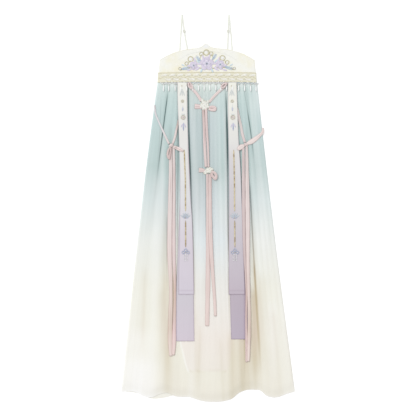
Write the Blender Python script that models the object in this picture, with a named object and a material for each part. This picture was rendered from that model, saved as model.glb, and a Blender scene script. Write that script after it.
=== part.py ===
"""A strapped hanfu dress laid flat, face up: every cut and sewn piece is its own solid.

Frame: metres, +Z up, +Y towards the straps, +X to the right of the front as it lies. The
origin is the middle of the dress's box, on the surface that the dress lies on.

Tables are in millimetres. "across" is measured from the middle of the box and "drop" is
measured down the front from the waist seam, so a place above the seam has a drop below 0.
Each piece is worked out over a flat plan, and a piece that lies on others takes its
underside from them, raised by the gap that touching pieces keep.
"""

from typing import NamedTuple

import bpy
import numpy as np

MM = 0.001

# Whole dress
STRAP_RISE = 234.6  # waist seam to the top of the straps
LONGEST_DROP = 1104.0  # waist seam to the lowest point of the hem
SIDE_DROP = 1068.0  # waist seam to the hem at the side seams
HALF_HEM = 300.0
WAIST_Y = (LONGEST_DROP - STRAP_RISE) / 2
SEAM_GAP = 0.3

# Cloth, as the built-up thickness of each piece
BACK_WALL = 1.2
LINING_WALL = 1.0
BODICE_WALL = 1.5
SKIRT_WALL = 2.5  # the gathered front, whose folds lie double
TAIL_WALL = 1.2
BRAID_WALL = 1.3
STRAP_WALL = 1.2
BEAD_WALL = 1.8

# Levels down the skirt at which the tables give a value: waist, hip, knee and hem
LEVELS = (0.0, 166.0, 580.0, SIDE_DROP)
SKIRT_LEFT = (-175.3, -196.7, -246.3, -HALF_HEM)
SKIRT_RIGHT = (169.1, 187.3, 236.0, HALF_HEM)
CREST_HEIGHT = (7.0, 8.2, 9.0, 9.4)  # top of the folds above the surface it lies on
CREASE_SPREAD = 620.0  # a crease is twice as wide this far down
SKIRT_SIDE_TOP = BACK_WALL + SEAM_GAP + SKIRT_WALL  # outer face of the front at its side seams
BODICE_SIDE_TOP = BACK_WALL + SEAM_GAP + BODICE_WALL
INNER_FLOOR = 1.4  # rise of the lowest creases over the lining
SKIRT_ROWS = 17
FAN = (0.0, 0.13, 0.36, 0.64, 0.87)  # columns between two creases
SMALL_FAN = (0.0, 0.2, 0.5, 0.8)  # the same, between two small gathers

# Bodice
BODICE_LEFT = (-175.0, -167.0)  # waist and top corner
BODICE_RIGHT = (169.0, 160.5)
CORNER_RISE = 76.0
ARCH_RISE = 41.5
ARCH_POWER = 2.6
PEAK_RISE = 15.5
PEAK_ACROSS = -7.0
PEAK_WIDTH = 14.0
BACK_RISE = 74.0
BODICE_CREST = (6.6, 3.3)  # dome of the front at the waist and at the top edge

# Waist braid and its bead fringe
BRAID_HEIGHT = 34.5
BRAID_OVERHANG = 2.0
BRAID_RELIEF = 1.1
LEAF_PITCH = 27.6
LEAF_ROWS = (-8.0, -22.5)  # middle of each row of leaves, as a drop
LEAF_COLUMNS = 6
BRAID_BORDER = 3.5
BEAD_PITCH = 20.05
BEAD_FIRST = -153.5
BEAD_COUNT = 17
NET_DEPTH = 15.0
BEAD_LENGTH = 17.0
BEAD_WIDTH = 4.4
STRAND_WIDTH = 1.6
FRINGE_STRIP = 3.0

# Straps and sliders
STRAP_WIDTH = 4.6
SLIDER_WIDTH = 8.4
SLIDER_LENGTH = 9.0
SLIDER_BAR = 1.7
SLIDER_WALL = 1.6


class Crease(NamedTuple):
    """One crease down the skirt: its place at each level, its depth there and its width.

    A depth is a share of the height of the folds: 0 leaves no crease, and 1 reaches the
    lining. The width is half the crease's own, at the waist.
    """

    waist: float
    hip: float
    knee: float
    hem: float
    waist_depth: float
    hip_depth: float
    knee_depth: float
    hem_depth: float
    width: float


CREASES = {
    "side_left": Crease(-158.7, -175.0, -228.0, -279.0, 0.50, 0.25, 0.15, 0.30, 7.0),
    "fan_left": Crease(-136.3, -155.3, -205.3, -252.0, 0.90, 0.90, 0.35, 0.30, 6.5),
    "tie_left": Crease(-116.0, -124.2, -147.3, -158.7, 0.35, 0.30, 0.60, 0.50, 7.0),
    "tail_left_outer": Crease(-104.5, -104.0, -103.0, -98.0, 0.75, 0.75, 0.55, 0.25, 5.0),
    "tail_left_inner": Crease(-69.7, -66.9, -53.1, -46.0, 0.97, 0.97, 0.95, 0.25, 5.5),
    "gather_one": Crease(-39.7, -38.0, -29.0, -22.0, 0.45, 0.10, 0.10, 0.40, 5.5),
    "gather_two": Crease(-17.3, -16.0, -6.0, 10.0, 0.45, 0.12, 0.05, 0.15, 5.5),
    "gather_three": Crease(6.9, 8.0, 18.0, 38.0, 0.40, 0.10, 0.10, 0.25, 5.5),
    "gather_four": Crease(29.3, 31.0, 42.0, 64.0, 0.45, 0.12, 0.10, 0.30, 5.5),
    "tail_right_inner": Crease(61.4, 64.9, 68.7, 90.0, 0.97, 0.97, 0.90, 0.60, 5.5),
    "tail_right_outer": Crease(99.0, 107.6, 121.4, 129.0, 0.80, 0.80, 0.70, 0.65, 5.0),
    "tie_right": Crease(114.0, 131.1, 152.8, 173.0, 0.25, 0.40, 0.90, 0.45, 6.0),
    "fan_right": Crease(127.5, 147.7, 186.3, 223.0, 0.90, 0.90, 0.20, 0.35, 6.0),
    "side_right": Crease(150.0, 169.0, 214.0, 268.0, 0.50, 0.25, 0.15, 0.30, 7.0),
}

# Hems, as (across, drop)
FRONT_HEM = (
    (-300, 1068), (-252, 1070), (-224, 1083), (-197, 1089), (-166, 1077), (-141, 1073),
    (-114, 1084), (-62, 1088), (-28, 1099), (17, 1104), (59, 1100), (83, 1092),
    (104, 1075), (128, 1064), (162, 1062), (183, 1066), (197, 1080), (214, 1087),
    (241, 1087), (266, 1078), (300, 1068),
)
BACK_HEM = (
    (-300, 1066), (-230, 1078), (-200, 1091), (-150, 1090), (-112, 1080), (0, 1084),
    (110, 1058), (200, 1056), (300, 1066),
)


class Edge(NamedTuple):
    """A straight-cut band at one drop: where its two long edges are."""

    drop: float
    left: float
    right: float


LINING = (
    Edge(3.0, -86.0, 86.0),
    Edge(580.0, -90.0, 84.0),
    Edge(897.0, -93.0, 83.0),
    Edge(975.0, -74.0, 76.0),
    Edge(997.0, -66.0, 66.0),
)
TAILS = {
    "tail_left_lower": (
        Edge(2.5, -99.5, -75.0),
        Edge(166.0, -98.0, -71.0),
        Edge(338.0, -97.0, -63.0),
        Edge(580.0, -106.0, -53.0),
        Edge(732.0, -109.7, -49.5),
        Edge(893.5, -110.4, -47.3),
    ),
    "tail_right_lower": (
        Edge(2.5, 69.5, 95.5),
        Edge(166.0, 72.0, 101.5),
        Edge(338.0, 73.0, 112.0),
        Edge(580.0, 73.5, 124.0),
        Edge(732.0, 77.3, 132.0),
        Edge(887.0, 81.4, 146.6),
    ),
    "tail_left_upper": (
        Edge(2.5, -101.8, -72.5),
        Edge(166.0, -100.0, -69.0),
        Edge(338.0, -97.6, -61.1),
        Edge(580.0, -102.5, -51.8),
        Edge(732.5, -102.0, -49.0),
    ),
    "tail_right_upper": (
        Edge(2.5, 67.3, 98.3),
        Edge(166.0, 70.7, 103.5),
        Edge(338.0, 70.7, 113.5),
        Edge(580.0, 70.7, 121.8),
        Edge(732.5, 71.5, 127.0),
    ),
}


class Stop(NamedTuple):
    """One place on the middle line of a ribbon, and the ribbon's width there."""

    across: float
    drop: float
    width: float


STRAPS = {
    "strap_left_back": (
        Stop(-99.0, -BACK_RISE - 1.6, STRAP_WIDTH),
        Stop(-97.6, -106.0, STRAP_WIDTH),
        Stop(-93.0, -180.0, STRAP_WIDTH),
        Stop(-89.3, -STRAP_RISE, STRAP_WIDTH),
    ),
    "strap_right_back": (
        Stop(86.0, -BACK_RISE - 1.6, STRAP_WIDTH),
        Stop(83.8, -106.0, STRAP_WIDTH),
        Stop(77.8, -180.0, STRAP_WIDTH),
        Stop(72.6, -STRAP_RISE, STRAP_WIDTH),
    ),
    "strap_left_front": (
        Stop(-89.0, -STRAP_RISE + 0.4, STRAP_WIDTH),
        Stop(-83.5, -185.0, STRAP_WIDTH),
        Stop(-71.5, -117.0, STRAP_WIDTH),
        Stop(-70.8, -105.0, STRAP_WIDTH),
    ),
    "strap_right_front": (
        Stop(72.0, -STRAP_RISE + 0.4, STRAP_WIDTH),
        Stop(70.3, -185.0, STRAP_WIDTH),
        Stop(67.5, -117.0, STRAP_WIDTH),
        Stop(67.3, -105.0, STRAP_WIDTH),
    ),
}
SLIDERS = {
    "slider_left": Stop(-82.4, -180.5, SLIDER_WIDTH),
    "slider_right": Stop(70.0, -180.5, SLIDER_WIDTH),
}

# Ties that pass under the tails, laid before them
SIDE_ARMS = {
    "side_left_arm_outer": (
        Stop(-184.0, 80.0, 6.5), Stop(-181.5, 107.0, 7.5), Stop(-172.5, 131.0, 7.5),
        Stop(-152.0, 176.0, 8.5), Stop(-134.5, 214.0, 8.0),
    ),
    "side_left_arm_inner": (
        Stop(-101.5, 131.0, 7.5), Stop(-108.5, 166.0, 7.5), Stop(-117.5, 197.0, 7.5),
        Stop(-122.5, 214.0, 8.0),
    ),
    "side_right_arm_outer": (
        Stop(189.5, 158.0, 7.0), Stop(189.0, 174.0, 8.5), Stop(176.0, 188.0, 11.0),
        Stop(160.0, 200.0, 16.0), Stop(144.0, 209.0, 15.0), Stop(134.0, 213.0, 9.0),
    ),
    "side_right_arm_inner": (
        Stop(101.0, 90.0, 7.5), Stop(107.0, 118.0, 7.5), Stop(115.5, 152.0, 7.5),
        Stop(121.0, 183.0, 7.5), Stop(127.0, 209.0, 8.0),
    ),
}

# Ties that lie over the skirt and the tails, in the order in which they are laid
TIES = {
    "centre_arm_left": (
        Stop(-66.5, 3.0, 11.5), Stop(-60.0, 21.0, 11.5), Stop(-43.0, 42.0, 11.5),
        Stop(-25.0, 63.0, 11.0),
    ),
    "centre_arm_right": (
        Stop(65.0, 3.0, 11.5), Stop(57.0, 15.0, 11.5), Stop(37.5, 33.0, 11.0),
        Stop(19.0, 52.0, 10.5), Stop(4.0, 70.0, 10.0),
    ),
    "centre_strand_mid_left": (
        Stop(-16.0, 92.0, 9.6), Stop(-11.8, 166.0, 9.8), Stop(-6.4, 294.0, 9.0),
    ),
    "centre_strand_mid_right": (
        Stop(-6.0, 92.0, 8.0), Stop(-2.2, 190.0, 7.6), Stop(2.0, 294.0, 7.4),
    ),
    "centre_strand_low_left": (
        Stop(-0.5, 318.0, 11.0), Stop(-1.6, 340.0, 12.0), Stop(-1.6, 590.0, 12.2),
        Stop(-0.6, 718.0, 14.0), Stop(-2.8, 841.0, 13.4),
    ),
    "centre_strand_low_right": (
        Stop(10.0, 318.0, 9.0), Stop(9.8, 340.0, 9.6), Stop(13.8, 590.0, 15.0),
        Stop(19.3, 718.0, 12.0), Stop(24.0, 807.0, 8.6),
    ),
    "side_left_strand_outer": (
        Stop(-128.5, 222.0, 9.0), Stop(-128.0, 338.0, 12.0), Stop(-130.5, 462.0, 14.5),
        Stop(-133.4, 590.0, 14.5), Stop(-124.6, 718.0, 13.5), Stop(-124.4, 945.0, 13.0),
    ),
    "side_left_strand_inner": (
        Stop(-118.5, 222.0, 9.5), Stop(-116.0, 338.0, 10.5), Stop(-117.6, 462.0, 11.0),
        Stop(-118.3, 590.0, 13.0), Stop(-112.8, 718.0, 9.6), Stop(-112.0, 941.0, 10.0),
    ),
    "side_right_strand_inner": (
        Stop(123.5, 222.0, 8.5), Stop(121.6, 372.0, 12.5), Stop(126.6, 590.0, 10.5),
        Stop(129.5, 718.0, 10.0), Stop(128.8, 966.0, 10.0),
    ),
    "side_right_strand_outer": (
        Stop(133.5, 222.0, 8.5), Stop(134.6, 372.0, 11.5), Stop(135.8, 590.0, 9.5),
        Stop(137.4, 718.0, 9.5), Stop(138.0, 963.0, 9.5),
    ),
    "centre_end_upper": (Stop(-24.0, 87.0, 15.0), Stop(-34.0, 85.0, 15.5), Stop(-45.5, 84.0, 16.0)),
    "centre_end_lower": (Stop(-10.0, 308.0, 13.0), Stop(-20.0, 304.5, 14.0), Stop(-31.0, 304.0, 14.5)),
    "side_left_bow_end": (Stop(-117.0, 224.0, 10.0), Stop(-101.0, 231.0, 11.5), Stop(-85.0, 239.0, 8.0)),
    "side_right_bow_end": (Stop(125.0, 219.0, 9.0), Stop(112.0, 226.0, 17.0), Stop(99.0, 236.0, 7.0)),
}
RIBBON_CROWN = 2.2
RIBBON_EDGE = 1.0
RIBBON_STEP = 30.0


class Lobe(NamedTuple):
    """A rounded piece of knotted or gathered cloth: its middle, size, turn and pleats."""

    across: float
    drop: float
    length: float
    width: float
    turn: float  # degrees from +X, anticlockwise
    height: float
    pleats: int
    cloth: str


KNOTS = {
    "centre_twist_left": Lobe(-61.5, 12.0, 21.0, 12.0, 118.0, 4.0, 2, "rose"),
    "centre_twist_right": Lobe(55.5, 14.5, 20.0, 12.0, 28.0, 4.0, 2, "rose"),
    "centre_loop_upper": Lobe(19.0, 92.0, 28.0, 20.0, -8.0, 5.5, 3, "rose"),
    "knot_upper": Lobe(-11.5, 80.0, 33.0, 31.0, 62.0, 8.0, 6, "cream"),
    "centre_loop_lower": Lobe(23.5, 322.0, 34.0, 17.0, -66.0, 5.5, 3, "rose"),
    "knot_lower": Lobe(1.5, 308.0, 34.0, 24.0, 18.0, 8.0, 6, "cream"),
    "side_left_loop": Lobe(-137.5, 243.0, 50.0, 11.5, 78.0, 4.5, 2, "rose"),
    "side_left_knot": Lobe(-126.5, 219.0, 17.0, 13.0, 20.0, 6.0, 3, "rose"),
    "side_right_knot": Lobe(131.0, 216.0, 16.0, 12.0, -30.0, 6.0, 3, "rose"),
}

# Applique on the bodice: blossoms and leaves of a garland
BLOSSOMS = {
    "blossom_middle": Lobe(-4.0, -63.0, 52.0, 50.0, 18.0, 3.2, 5, "lavender"),
    "blossom_left": Lobe(-50.0, -57.0, 33.0, 32.0, 50.0, 2.8, 5, "lavender"),
    "blossom_right": Lobe(42.0, -60.0, 36.0, 35.0, -10.0, 2.8, 5, "lavender"),
}
LEAVES = {
    "leaf_left_low": Lobe(-78.0, -47.0, 32.0, 13.0, 12.0, 2.2, 1, "sky"),
    "leaf_left_high": Lobe(-33.0, -80.0, 27.0, 12.0, 132.0, 2.2, 1, "sky"),
    "leaf_right_high": Lobe(21.5, -87.0, 26.0, 12.0, 58.0, 2.2, 1, "sky"),
    "leaf_right_low": Lobe(71.5, -49.0, 32.0, 13.0, -14.0, 2.2, 1, "sky"),
}

CLOTHS = {  # base colour, roughness, metallic
    "ombre": ((0.62, 0.72, 0.72), 0.75, 0.0),
    "ivory": ((0.86, 0.85, 0.79), 0.7, 0.0),
    "lining": ((0.84, 0.78, 0.74), 0.75, 0.0),
    "gold": ((0.74, 0.70, 0.56), 0.5, 0.3),
    "pearl": ((0.88, 0.88, 0.86), 0.25, 0.0),
    "lavender": ((0.60, 0.54, 0.66), 0.6, 0.0),
    "tail": ((0.70, 0.66, 0.70), 0.5, 0.0),
    "rose": ((0.75, 0.60, 0.58), 0.45, 0.0),
    "cream": ((0.84, 0.81, 0.70), 0.75, 0.0),
    "sky": ((0.52, 0.66, 0.72), 0.6, 0.0),
}


def smooth_curve(stations, values, at):
    """The smooth curve through (station, value): cubic pieces whose slopes agree at each."""
    stations, values = np.asarray(stations, float), np.asarray(values, float)
    at = np.asarray(at, float)
    if len(stations) == 2:
        return values[0] + (values[1] - values[0]) * (at - stations[0]) / (stations[1] - stations[0])
    slopes = np.gradient(values, stations)
    piece = np.clip(np.searchsorted(stations, at) - 1, 0, len(stations) - 2)
    span = stations[piece + 1] - stations[piece]
    s = (at - stations[piece]) / span
    rise = values[piece + 1] - values[piece]
    start, end = slopes[piece] * span, slopes[piece + 1] * span
    return values[piece] + s * (start + s * (3 * rise - 2 * start - end + s * (start + end - 2 * rise)))


def plan_point(across, drop):
    """A place on the plan, from its distance across and its drop."""
    return np.stack(np.broadcast_arrays(across, WAIST_Y - np.asarray(drop, float)), axis=-1)


def grid_faces(rows, columns):
    """Faces of a grid whose rows run down the plan and whose columns run to the right."""
    corner = (np.arange(rows - 1)[:, None] * columns + np.arange(columns - 1)).ravel()
    return np.column_stack([corner, corner + columns, corner + columns + 1, corner + 1])


def triangles(faces):
    """Each four-sided face as two triangles, and each triangle as it is."""
    halves = []
    for face in faces:
        halves += [(face[0], face[k], face[k + 1]) for k in range(1, len(face) - 1)]
    return np.array(halves)


class Pile:
    """The highest surface laid so far, on a grid of 1 mm over the whole dress."""

    def __init__(self):
        reach = np.array([HALF_HEM, (LONGEST_DROP + STRAP_RISE) / 2]) + 12.0
        self.low = -np.ceil(reach)
        self.heights = np.zeros((2 * np.ceil(reach[::-1]).astype(int) + 1))

    def lay(self, corners):
        """Adds the upper surface of a piece, given as triangles with three (x, y, z) corners."""
        for a, b, c in corners:
            low = np.floor(np.minimum(np.minimum(a, b), c)[:2] - self.low).astype(int)
            high = np.ceil(np.maximum(np.maximum(a, b), c)[:2] - self.low).astype(int) + 1
            x = np.arange(low[0], high[0]) + self.low[0]
            y = (np.arange(low[1], high[1]) + self.low[1])[:, None]
            area = (b[0] - a[0]) * (c[1] - a[1]) - (c[0] - a[0]) * (b[1] - a[1])
            if abs(area) < 1e-6:
                continue
            to_b = ((x - a[0]) * (c[1] - a[1]) - (c[0] - a[0]) * (y - a[1])) / area
            to_c = ((b[0] - a[0]) * (y - a[1]) - (x - a[0]) * (b[1] - a[1])) / area
            inside = (to_b > -1e-6) & (to_c > -1e-6) & (to_b + to_c < 1 + 1e-6)
            z = a[2] + to_b * (b[2] - a[2]) + to_c * (c[2] - a[2])
            window = self.heights[low[1] : high[1], low[0] : high[0]]
            np.maximum(window, np.where(inside, z, 0.0), out=window)

    def clear_of(self, plan, faces):
        """The lowest height of each plan point at which every flat face clears the pile."""
        under = np.zeros(len(plan))
        for face in faces:
            low = np.floor(plan[face].min(axis=0) - self.low).astype(int)
            high = np.ceil(plan[face].max(axis=0) - self.low).astype(int) + 1
            highest = self.heights[low[1] : high[1], low[0] : high[0]].max()
            if highest > 0:
                under[face] = np.maximum(under[face], highest + SEAM_GAP)
        return under


PILE = Pile()


def finish_of(cloth):
    """The material of a cloth, made once."""
    if cloth in bpy.data.materials:
        return bpy.data.materials[cloth]
    colour, roughness, metallic = CLOTHS[cloth]
    material = bpy.data.materials.new(cloth)
    material.use_nodes = True
    shader = material.node_tree.nodes["Principled BSDF"]
    shader.inputs["Base Color"].default_value = (*colour, 1.0)
    shader.inputs["Roughness"].default_value = roughness
    shader.inputs["Metallic"].default_value = metallic
    material.diffuse_color = (*colour, 1.0)
    return material


def sew(name, plan, faces, under, over, cloth):
    """Closes a piece between its under and outer faces, and lays it on the pile."""
    count = len(plan)
    upper = triangles(faces)
    lower = upper[:, ::-1] + count
    sides = np.concatenate([upper[:, [0, 1]], upper[:, [1, 2]], upper[:, [2, 0]]])
    known = {tuple(side) for side in sides.tolist()}
    rim = [(a, b) for a, b in sides.tolist() if (b, a) not in known]
    wall = [(a + count, b + count, b) for a, b in rim] + [(a + count, b, a) for a, b in rim]
    outer = np.column_stack([plan, over])
    points = np.concatenate([outer, np.column_stack([plan, under])]) * MM
    mesh = bpy.data.meshes.new(name)
    mesh.from_pydata(points.tolist(), [], upper.tolist() + lower.tolist() + wall)
    mesh.materials.append(finish_of(cloth))
    mesh.shade_smooth()
    mesh.set_sharp_from_angle(angle=np.radians(40))
    bpy.context.scene.collection.objects.link(bpy.data.objects.new(name, mesh))
    PILE.lay(outer[upper])


def lay_on(name, plan, faces, thickness, cloth, taut=None):
    """Sews a piece whose underside rests on the pile. taut is its (rows, columns), if it
    is a band that bridges small hollows along its length."""
    rest = PILE.clear_of(plan, faces)
    under = rest
    for _ in range(6 if taut else 0):
        line = under.reshape(taut)
        bridge = np.pad((line[:-2] + line[2:]) / 2, ((1, 1), (0, 0)), mode="edge")
        bridge[0], bridge[-1] = line[0], line[-1]
        under = np.maximum(rest, bridge.ravel())
    sew(name, plan, faces, under, under + thickness, cloth)


def flat_band(name, plan, rows, columns, low, wall, cloth):
    """Sews a flat panel from a grid of plan points, between low and low + wall."""
    under = np.full(rows * columns, low)
    sew(name, plan.reshape(-1, 2), grid_faces(rows, columns), under, under + wall, cloth)


def skirt_plan(fractions, hem, lines):
    """Plan points and drops of a skirt panel: each row a share of the way to the hem, and
    each column along one of the lines, given as tables of four values over LEVELS."""
    at_hem = np.array([line[-1] for line in lines])
    drops = np.asarray(fractions)[:, None] * smooth_curve(*zip(*hem), at_hem)[None, :]
    across = np.stack([smooth_curve(LEVELS, line, drops[:, k]) for k, line in enumerate(lines)], axis=1)
    return across, drops


def fan_lines():
    """The lines that the front's columns follow: its sides, its creases and those between."""
    creases = {name: crease[:4] for name, crease in CREASES.items()}
    main = {"left": SKIRT_LEFT, **creases, "right": SKIRT_RIGHT}
    names = list(main)
    lines = []
    for name, after in zip(names[:-1], names[1:]):
        shares = SMALL_FAN if name.startswith("gather") else FAN
        lines += [np.add(main[name], share * np.subtract(main[after], main[name])) for share in shares]
    return lines + [np.array(SKIRT_RIGHT)]


def dome(share):
    """The height of a flattened tube, from 1 at its middle to 0 at its two folded sides."""
    return np.sqrt(np.clip(1.0 - np.abs(share) ** 2.4, 0.0, 1.0))


def skirt_heights(across, drops):
    """Outer and lowest heights of the skirt's front: its folds crest in a flattened tube,
    and each crease takes its share of that height away around its own line."""
    left, right = smooth_curve(LEVELS, SKIRT_LEFT, drops), smooth_curve(LEVELS, SKIRT_RIGHT, drops)
    share = np.clip((2 * across - left - right) / (right - left), -1.0, 1.0)
    left_over = np.ones_like(across)
    for crease in CREASES.values():
        width = crease.width * (1.0 + drops / CREASE_SPREAD)
        away = np.abs(across - smooth_curve(LEVELS, crease[:4], drops)) / width
        depth = np.clip(smooth_curve(LEVELS, crease[4:8], drops), 0.0, 1.0)
        left_over *= 1.0 - depth * np.exp(-(away**1.6))
    floor = SKIRT_SIDE_TOP + INNER_FLOOR * (1.0 - share**8)
    crest = SKIRT_SIDE_TOP + (smooth_curve(LEVELS, CREST_HEIGHT, drops) - SKIRT_SIDE_TOP) * dome(share)
    return floor + np.maximum(crest - floor, 0.0) * left_over, floor


def make_skirt_front():
    fractions = (np.arange(SKIRT_ROWS) / (SKIRT_ROWS - 1)) ** 1.25
    lines = fan_lines()
    across, drops = skirt_plan(fractions, FRONT_HEM, lines)
    drops[0] += SEAM_GAP / 2
    outer, floor = skirt_heights(across, drops)
    slope = np.gradient(outer, axis=1) / np.gradient(across, axis=1)
    wall = SKIRT_WALL * np.clip(np.sqrt(1.0 + slope**2), 1.0, 1.5)
    under = np.maximum(outer - wall, floor - SKIRT_WALL)
    plan = plan_point(across, drops).reshape(-1, 2)
    sew("skirt_front", plan, grid_faces(*across.shape), under.ravel(), outer.ravel(), "ombre")


def make_skirt_back():
    columns, fractions = 17, np.linspace(0.0, 1.0, 5)
    shares = np.linspace(0.0, 1.0, columns)
    lines = [np.add(SKIRT_LEFT, share * np.subtract(SKIRT_RIGHT, SKIRT_LEFT)) for share in shares]
    across, drops = skirt_plan(fractions, BACK_HEM, lines)
    drops[0] += SEAM_GAP / 2
    flat_band("skirt_back", plan_point(across, drops), *across.shape, 0.0, BACK_WALL, "ivory")


def band_plan(edges, drops, columns):
    """Plan points of a band whose long edges follow a table of Edge rows."""
    stations = [edge.drop for edge in edges]
    left = smooth_curve(stations, [edge.left for edge in edges], drops)
    right = smooth_curve(stations, [edge.right for edge in edges], drops)
    shares = np.linspace(0.0, 1.0, columns)
    return plan_point(left[:, None] + (right - left)[:, None] * shares, drops[:, None])


def make_lining():
    drops = np.array([edge.drop for edge in LINING])
    plan = band_plan(LINING, drops, 5)
    flat_band("lining_front", plan, len(drops), 5, BACK_WALL + SEAM_GAP, LINING_WALL, "lining")


def neckline(across):
    """Rise of the front's top edge: a low arch with one small peak at the middle."""
    middle, half = sum((BODICE_LEFT[1], BODICE_RIGHT[1])) / 2, (BODICE_RIGHT[1] - BODICE_LEFT[1]) / 2
    share = np.clip(np.abs(across - middle) / half, 0.0, 1.0)
    peak = PEAK_RISE * np.exp(-((np.abs(across - PEAK_ACROSS) / PEAK_WIDTH) ** 1.6))
    return CORNER_RISE + ARCH_RISE * (1.0 - share**ARCH_POWER) + peak


def bodice_plan(top_columns, top_rises, rows):
    """Plan points of a bodice panel: columns lean from the waist to the top edge."""
    spread = (BODICE_RIGHT[0] - BODICE_LEFT[0]) / (BODICE_RIGHT[1] - BODICE_LEFT[1])
    foot = BODICE_LEFT[0] + (top_columns - BODICE_LEFT[1]) * spread
    up = np.linspace(1.0, 0.0, rows)[:, None]
    across = foot + (top_columns - foot) * up
    return across, -np.maximum(top_rises * up, SEAM_GAP / 2), up


def make_bodice_front():
    peak = PEAK_ACROSS + PEAK_WIDTH * np.array([-1.6, -0.8, -0.35, 0.0, 0.35, 0.8, 1.6])
    left = np.linspace(BODICE_LEFT[1], peak[0], 11)[:-1]
    right = np.linspace(peak[-1], BODICE_RIGHT[1], 12)[1:]
    columns = np.concatenate([left, peak, right])
    across, drops, up = bodice_plan(columns, neckline(columns), 7)
    share = np.linspace(-1.0, 1.0, len(columns)) * np.ones_like(up)
    crest = BODICE_CREST[0] + (BODICE_CREST[1] - BODICE_CREST[0]) * up
    outer = BODICE_SIDE_TOP + (crest - BODICE_SIDE_TOP) * dome(share)
    plan = plan_point(across, drops).reshape(-1, 2)
    sew(
        "bodice_front", plan, grid_faces(*across.shape), outer.ravel() - BODICE_WALL, outer.ravel(), "ivory"
    )


def make_bodice_back():
    columns = np.linspace(BODICE_LEFT[1], BODICE_RIGHT[1], 9)
    across, drops, _ = bodice_plan(columns, np.full(9, BACK_RISE), 3)
    flat_band("bodice_back", plan_point(across, drops), *across.shape, 0.0, BACK_WALL, "ivory")


def make_braid():
    """The waist braid: two raised borders and two rows of leaves, half a pitch apart."""
    left, right = BODICE_LEFT[0] - 0.5, BODICE_RIGHT[0] + 0.5
    step = LEAF_PITCH / LEAF_COLUMNS
    inner = step * np.arange(np.ceil(left / step + 0.4), right / step - 0.4)
    columns = np.concatenate([[left], inner, [right]])
    foot, top = BRAID_OVERHANG, BRAID_OVERHANG - BRAID_HEIGHT
    between = sum(LEAF_ROWS) / 2
    borders = (top + BRAID_BORDER, foot - BRAID_BORDER)
    drops = np.array([top, borders[0], LEAF_ROWS[1], between, LEAF_ROWS[0], borders[1], foot])
    x, drop = np.meshgrid(columns, drops)
    relief = np.isin(drop, (top, foot)).astype(float)
    for row, middle in enumerate(LEAF_ROWS):
        along = np.abs(((x / LEAF_PITCH + row / 2) % 1.0) - 0.5) * 2
        relief = np.where(drop == middle, np.sqrt(1.0 - along**1.5), relief)
    wall = BRAID_WALL + BRAID_RELIEF * relief.ravel()
    plan = plan_point(x, drop).reshape(-1, 2)
    lay_on("waist_braid", plan, grid_faces(*x.shape), wall, "gold")


def make_fringe():
    """The bead fringe: a strip under the braid, a zigzag net below it and a long bead at
    each of the net's points, all one piece."""
    top = BRAID_OVERHANG + SEAM_GAP
    strip, head = top + FRINGE_STRIP, top + FRINGE_STRIP + NET_DEPTH
    ends = (BODICE_LEFT[0] + 1.0, BODICE_RIGHT[0] - 0.5)
    roots = np.clip(BEAD_FIRST + BEAD_PITCH * (np.arange(BEAD_COUNT + 1) - 0.5), ends[0] + 2, ends[1] - 2)
    beads = BEAD_FIRST + BEAD_PITCH * np.arange(BEAD_COUNT)
    beads[-1] = ends[1] - BEAD_WIDTH / 2
    plan, faces = [], []
    for root in roots:
        places = (-STRAND_WIDTH, 0.0, STRAND_WIDTH)
        plan += [(root + step, top) for step in places] + [(root + step, strip) for step in places]
    for k in range(len(roots)):
        a = 6 * k
        faces += [(a, a + 3, a + 4, a + 1), (a + 1, a + 4, a + 5, a + 2)]
        if k < BEAD_COUNT:
            faces.append((a + 2, a + 5, a + 9, a + 6))
    for k, bead in enumerate(beads):
        first = len(plan)
        half = BEAD_WIDTH / 2
        plan += [
            (bead, head - 1.8), (bead - STRAND_WIDTH, head), (bead + STRAND_WIDTH, head),
            (bead - half, head + 0.62 * BEAD_LENGTH), (bead + half, head + 0.62 * BEAD_LENGTH),
            (bead, head + BEAD_LENGTH),
        ]
        crown, left, right, wide_left, wide_right, tip = range(first, first + 6)
        a, b = 6 * k, 6 * (k + 1)
        faces += [
            (a + 4, left, crown, a + 5), (b + 3, crown, right, b + 4), (crown, left, right),
            (left, wide_left, wide_right, right), (wide_left, tip, wide_right),
        ]
    places = np.array(plan)
    plan = plan_point(places[:, 0], places[:, 1])
    lay_on("bead_fringe", plan, [list(face) for face in faces], BEAD_WALL, "pearl")


def make_tail(name, edges, cloth):
    rows, columns = 25, 4
    drops = np.linspace(edges[0].drop, edges[-1].drop, rows)
    plan = band_plan(edges, drops, columns).reshape(-1, 2)
    lay_on(name, plan, grid_faces(rows, columns), TAIL_WALL, cloth, taut=(rows, columns))


def make_ribbon(name, stops, cloth, edge=RIBBON_EDGE, crown=RIBBON_CROWN, step=RIBBON_STEP):
    """A ribbon along the smooth line through its stops, thicker along its middle."""
    places = plan_point([stop.across for stop in stops], [stop.drop for stop in stops])
    along = np.concatenate([[0.0], np.cumsum(np.linalg.norm(np.diff(places, axis=0), axis=1))])
    rows = max(4, int(np.ceil(along[-1] / step)) + 1)
    at = np.linspace(0.0, along[-1], rows)
    line = np.column_stack([smooth_curve(along, places[:, k], at) for k in (0, 1)])
    width = smooth_curve(along, [stop.width for stop in stops], at)
    heading = np.gradient(line, axis=0)
    heading /= np.linalg.norm(heading, axis=1, keepdims=True)
    side = np.column_stack([-heading[:, 1], heading[:, 0]])
    shares = np.array([-0.5, 0.0, 0.5])
    plan = (line[:, None] + side[:, None] * width[:, None, None] * shares[None, :, None]).reshape(-1, 2)
    wall = np.tile(edge + crown * (1.0 - (2 * shares) ** 2), rows)
    lay_on(name, plan, grid_faces(rows, 3), wall, cloth, taut=(rows, 3))


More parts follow.
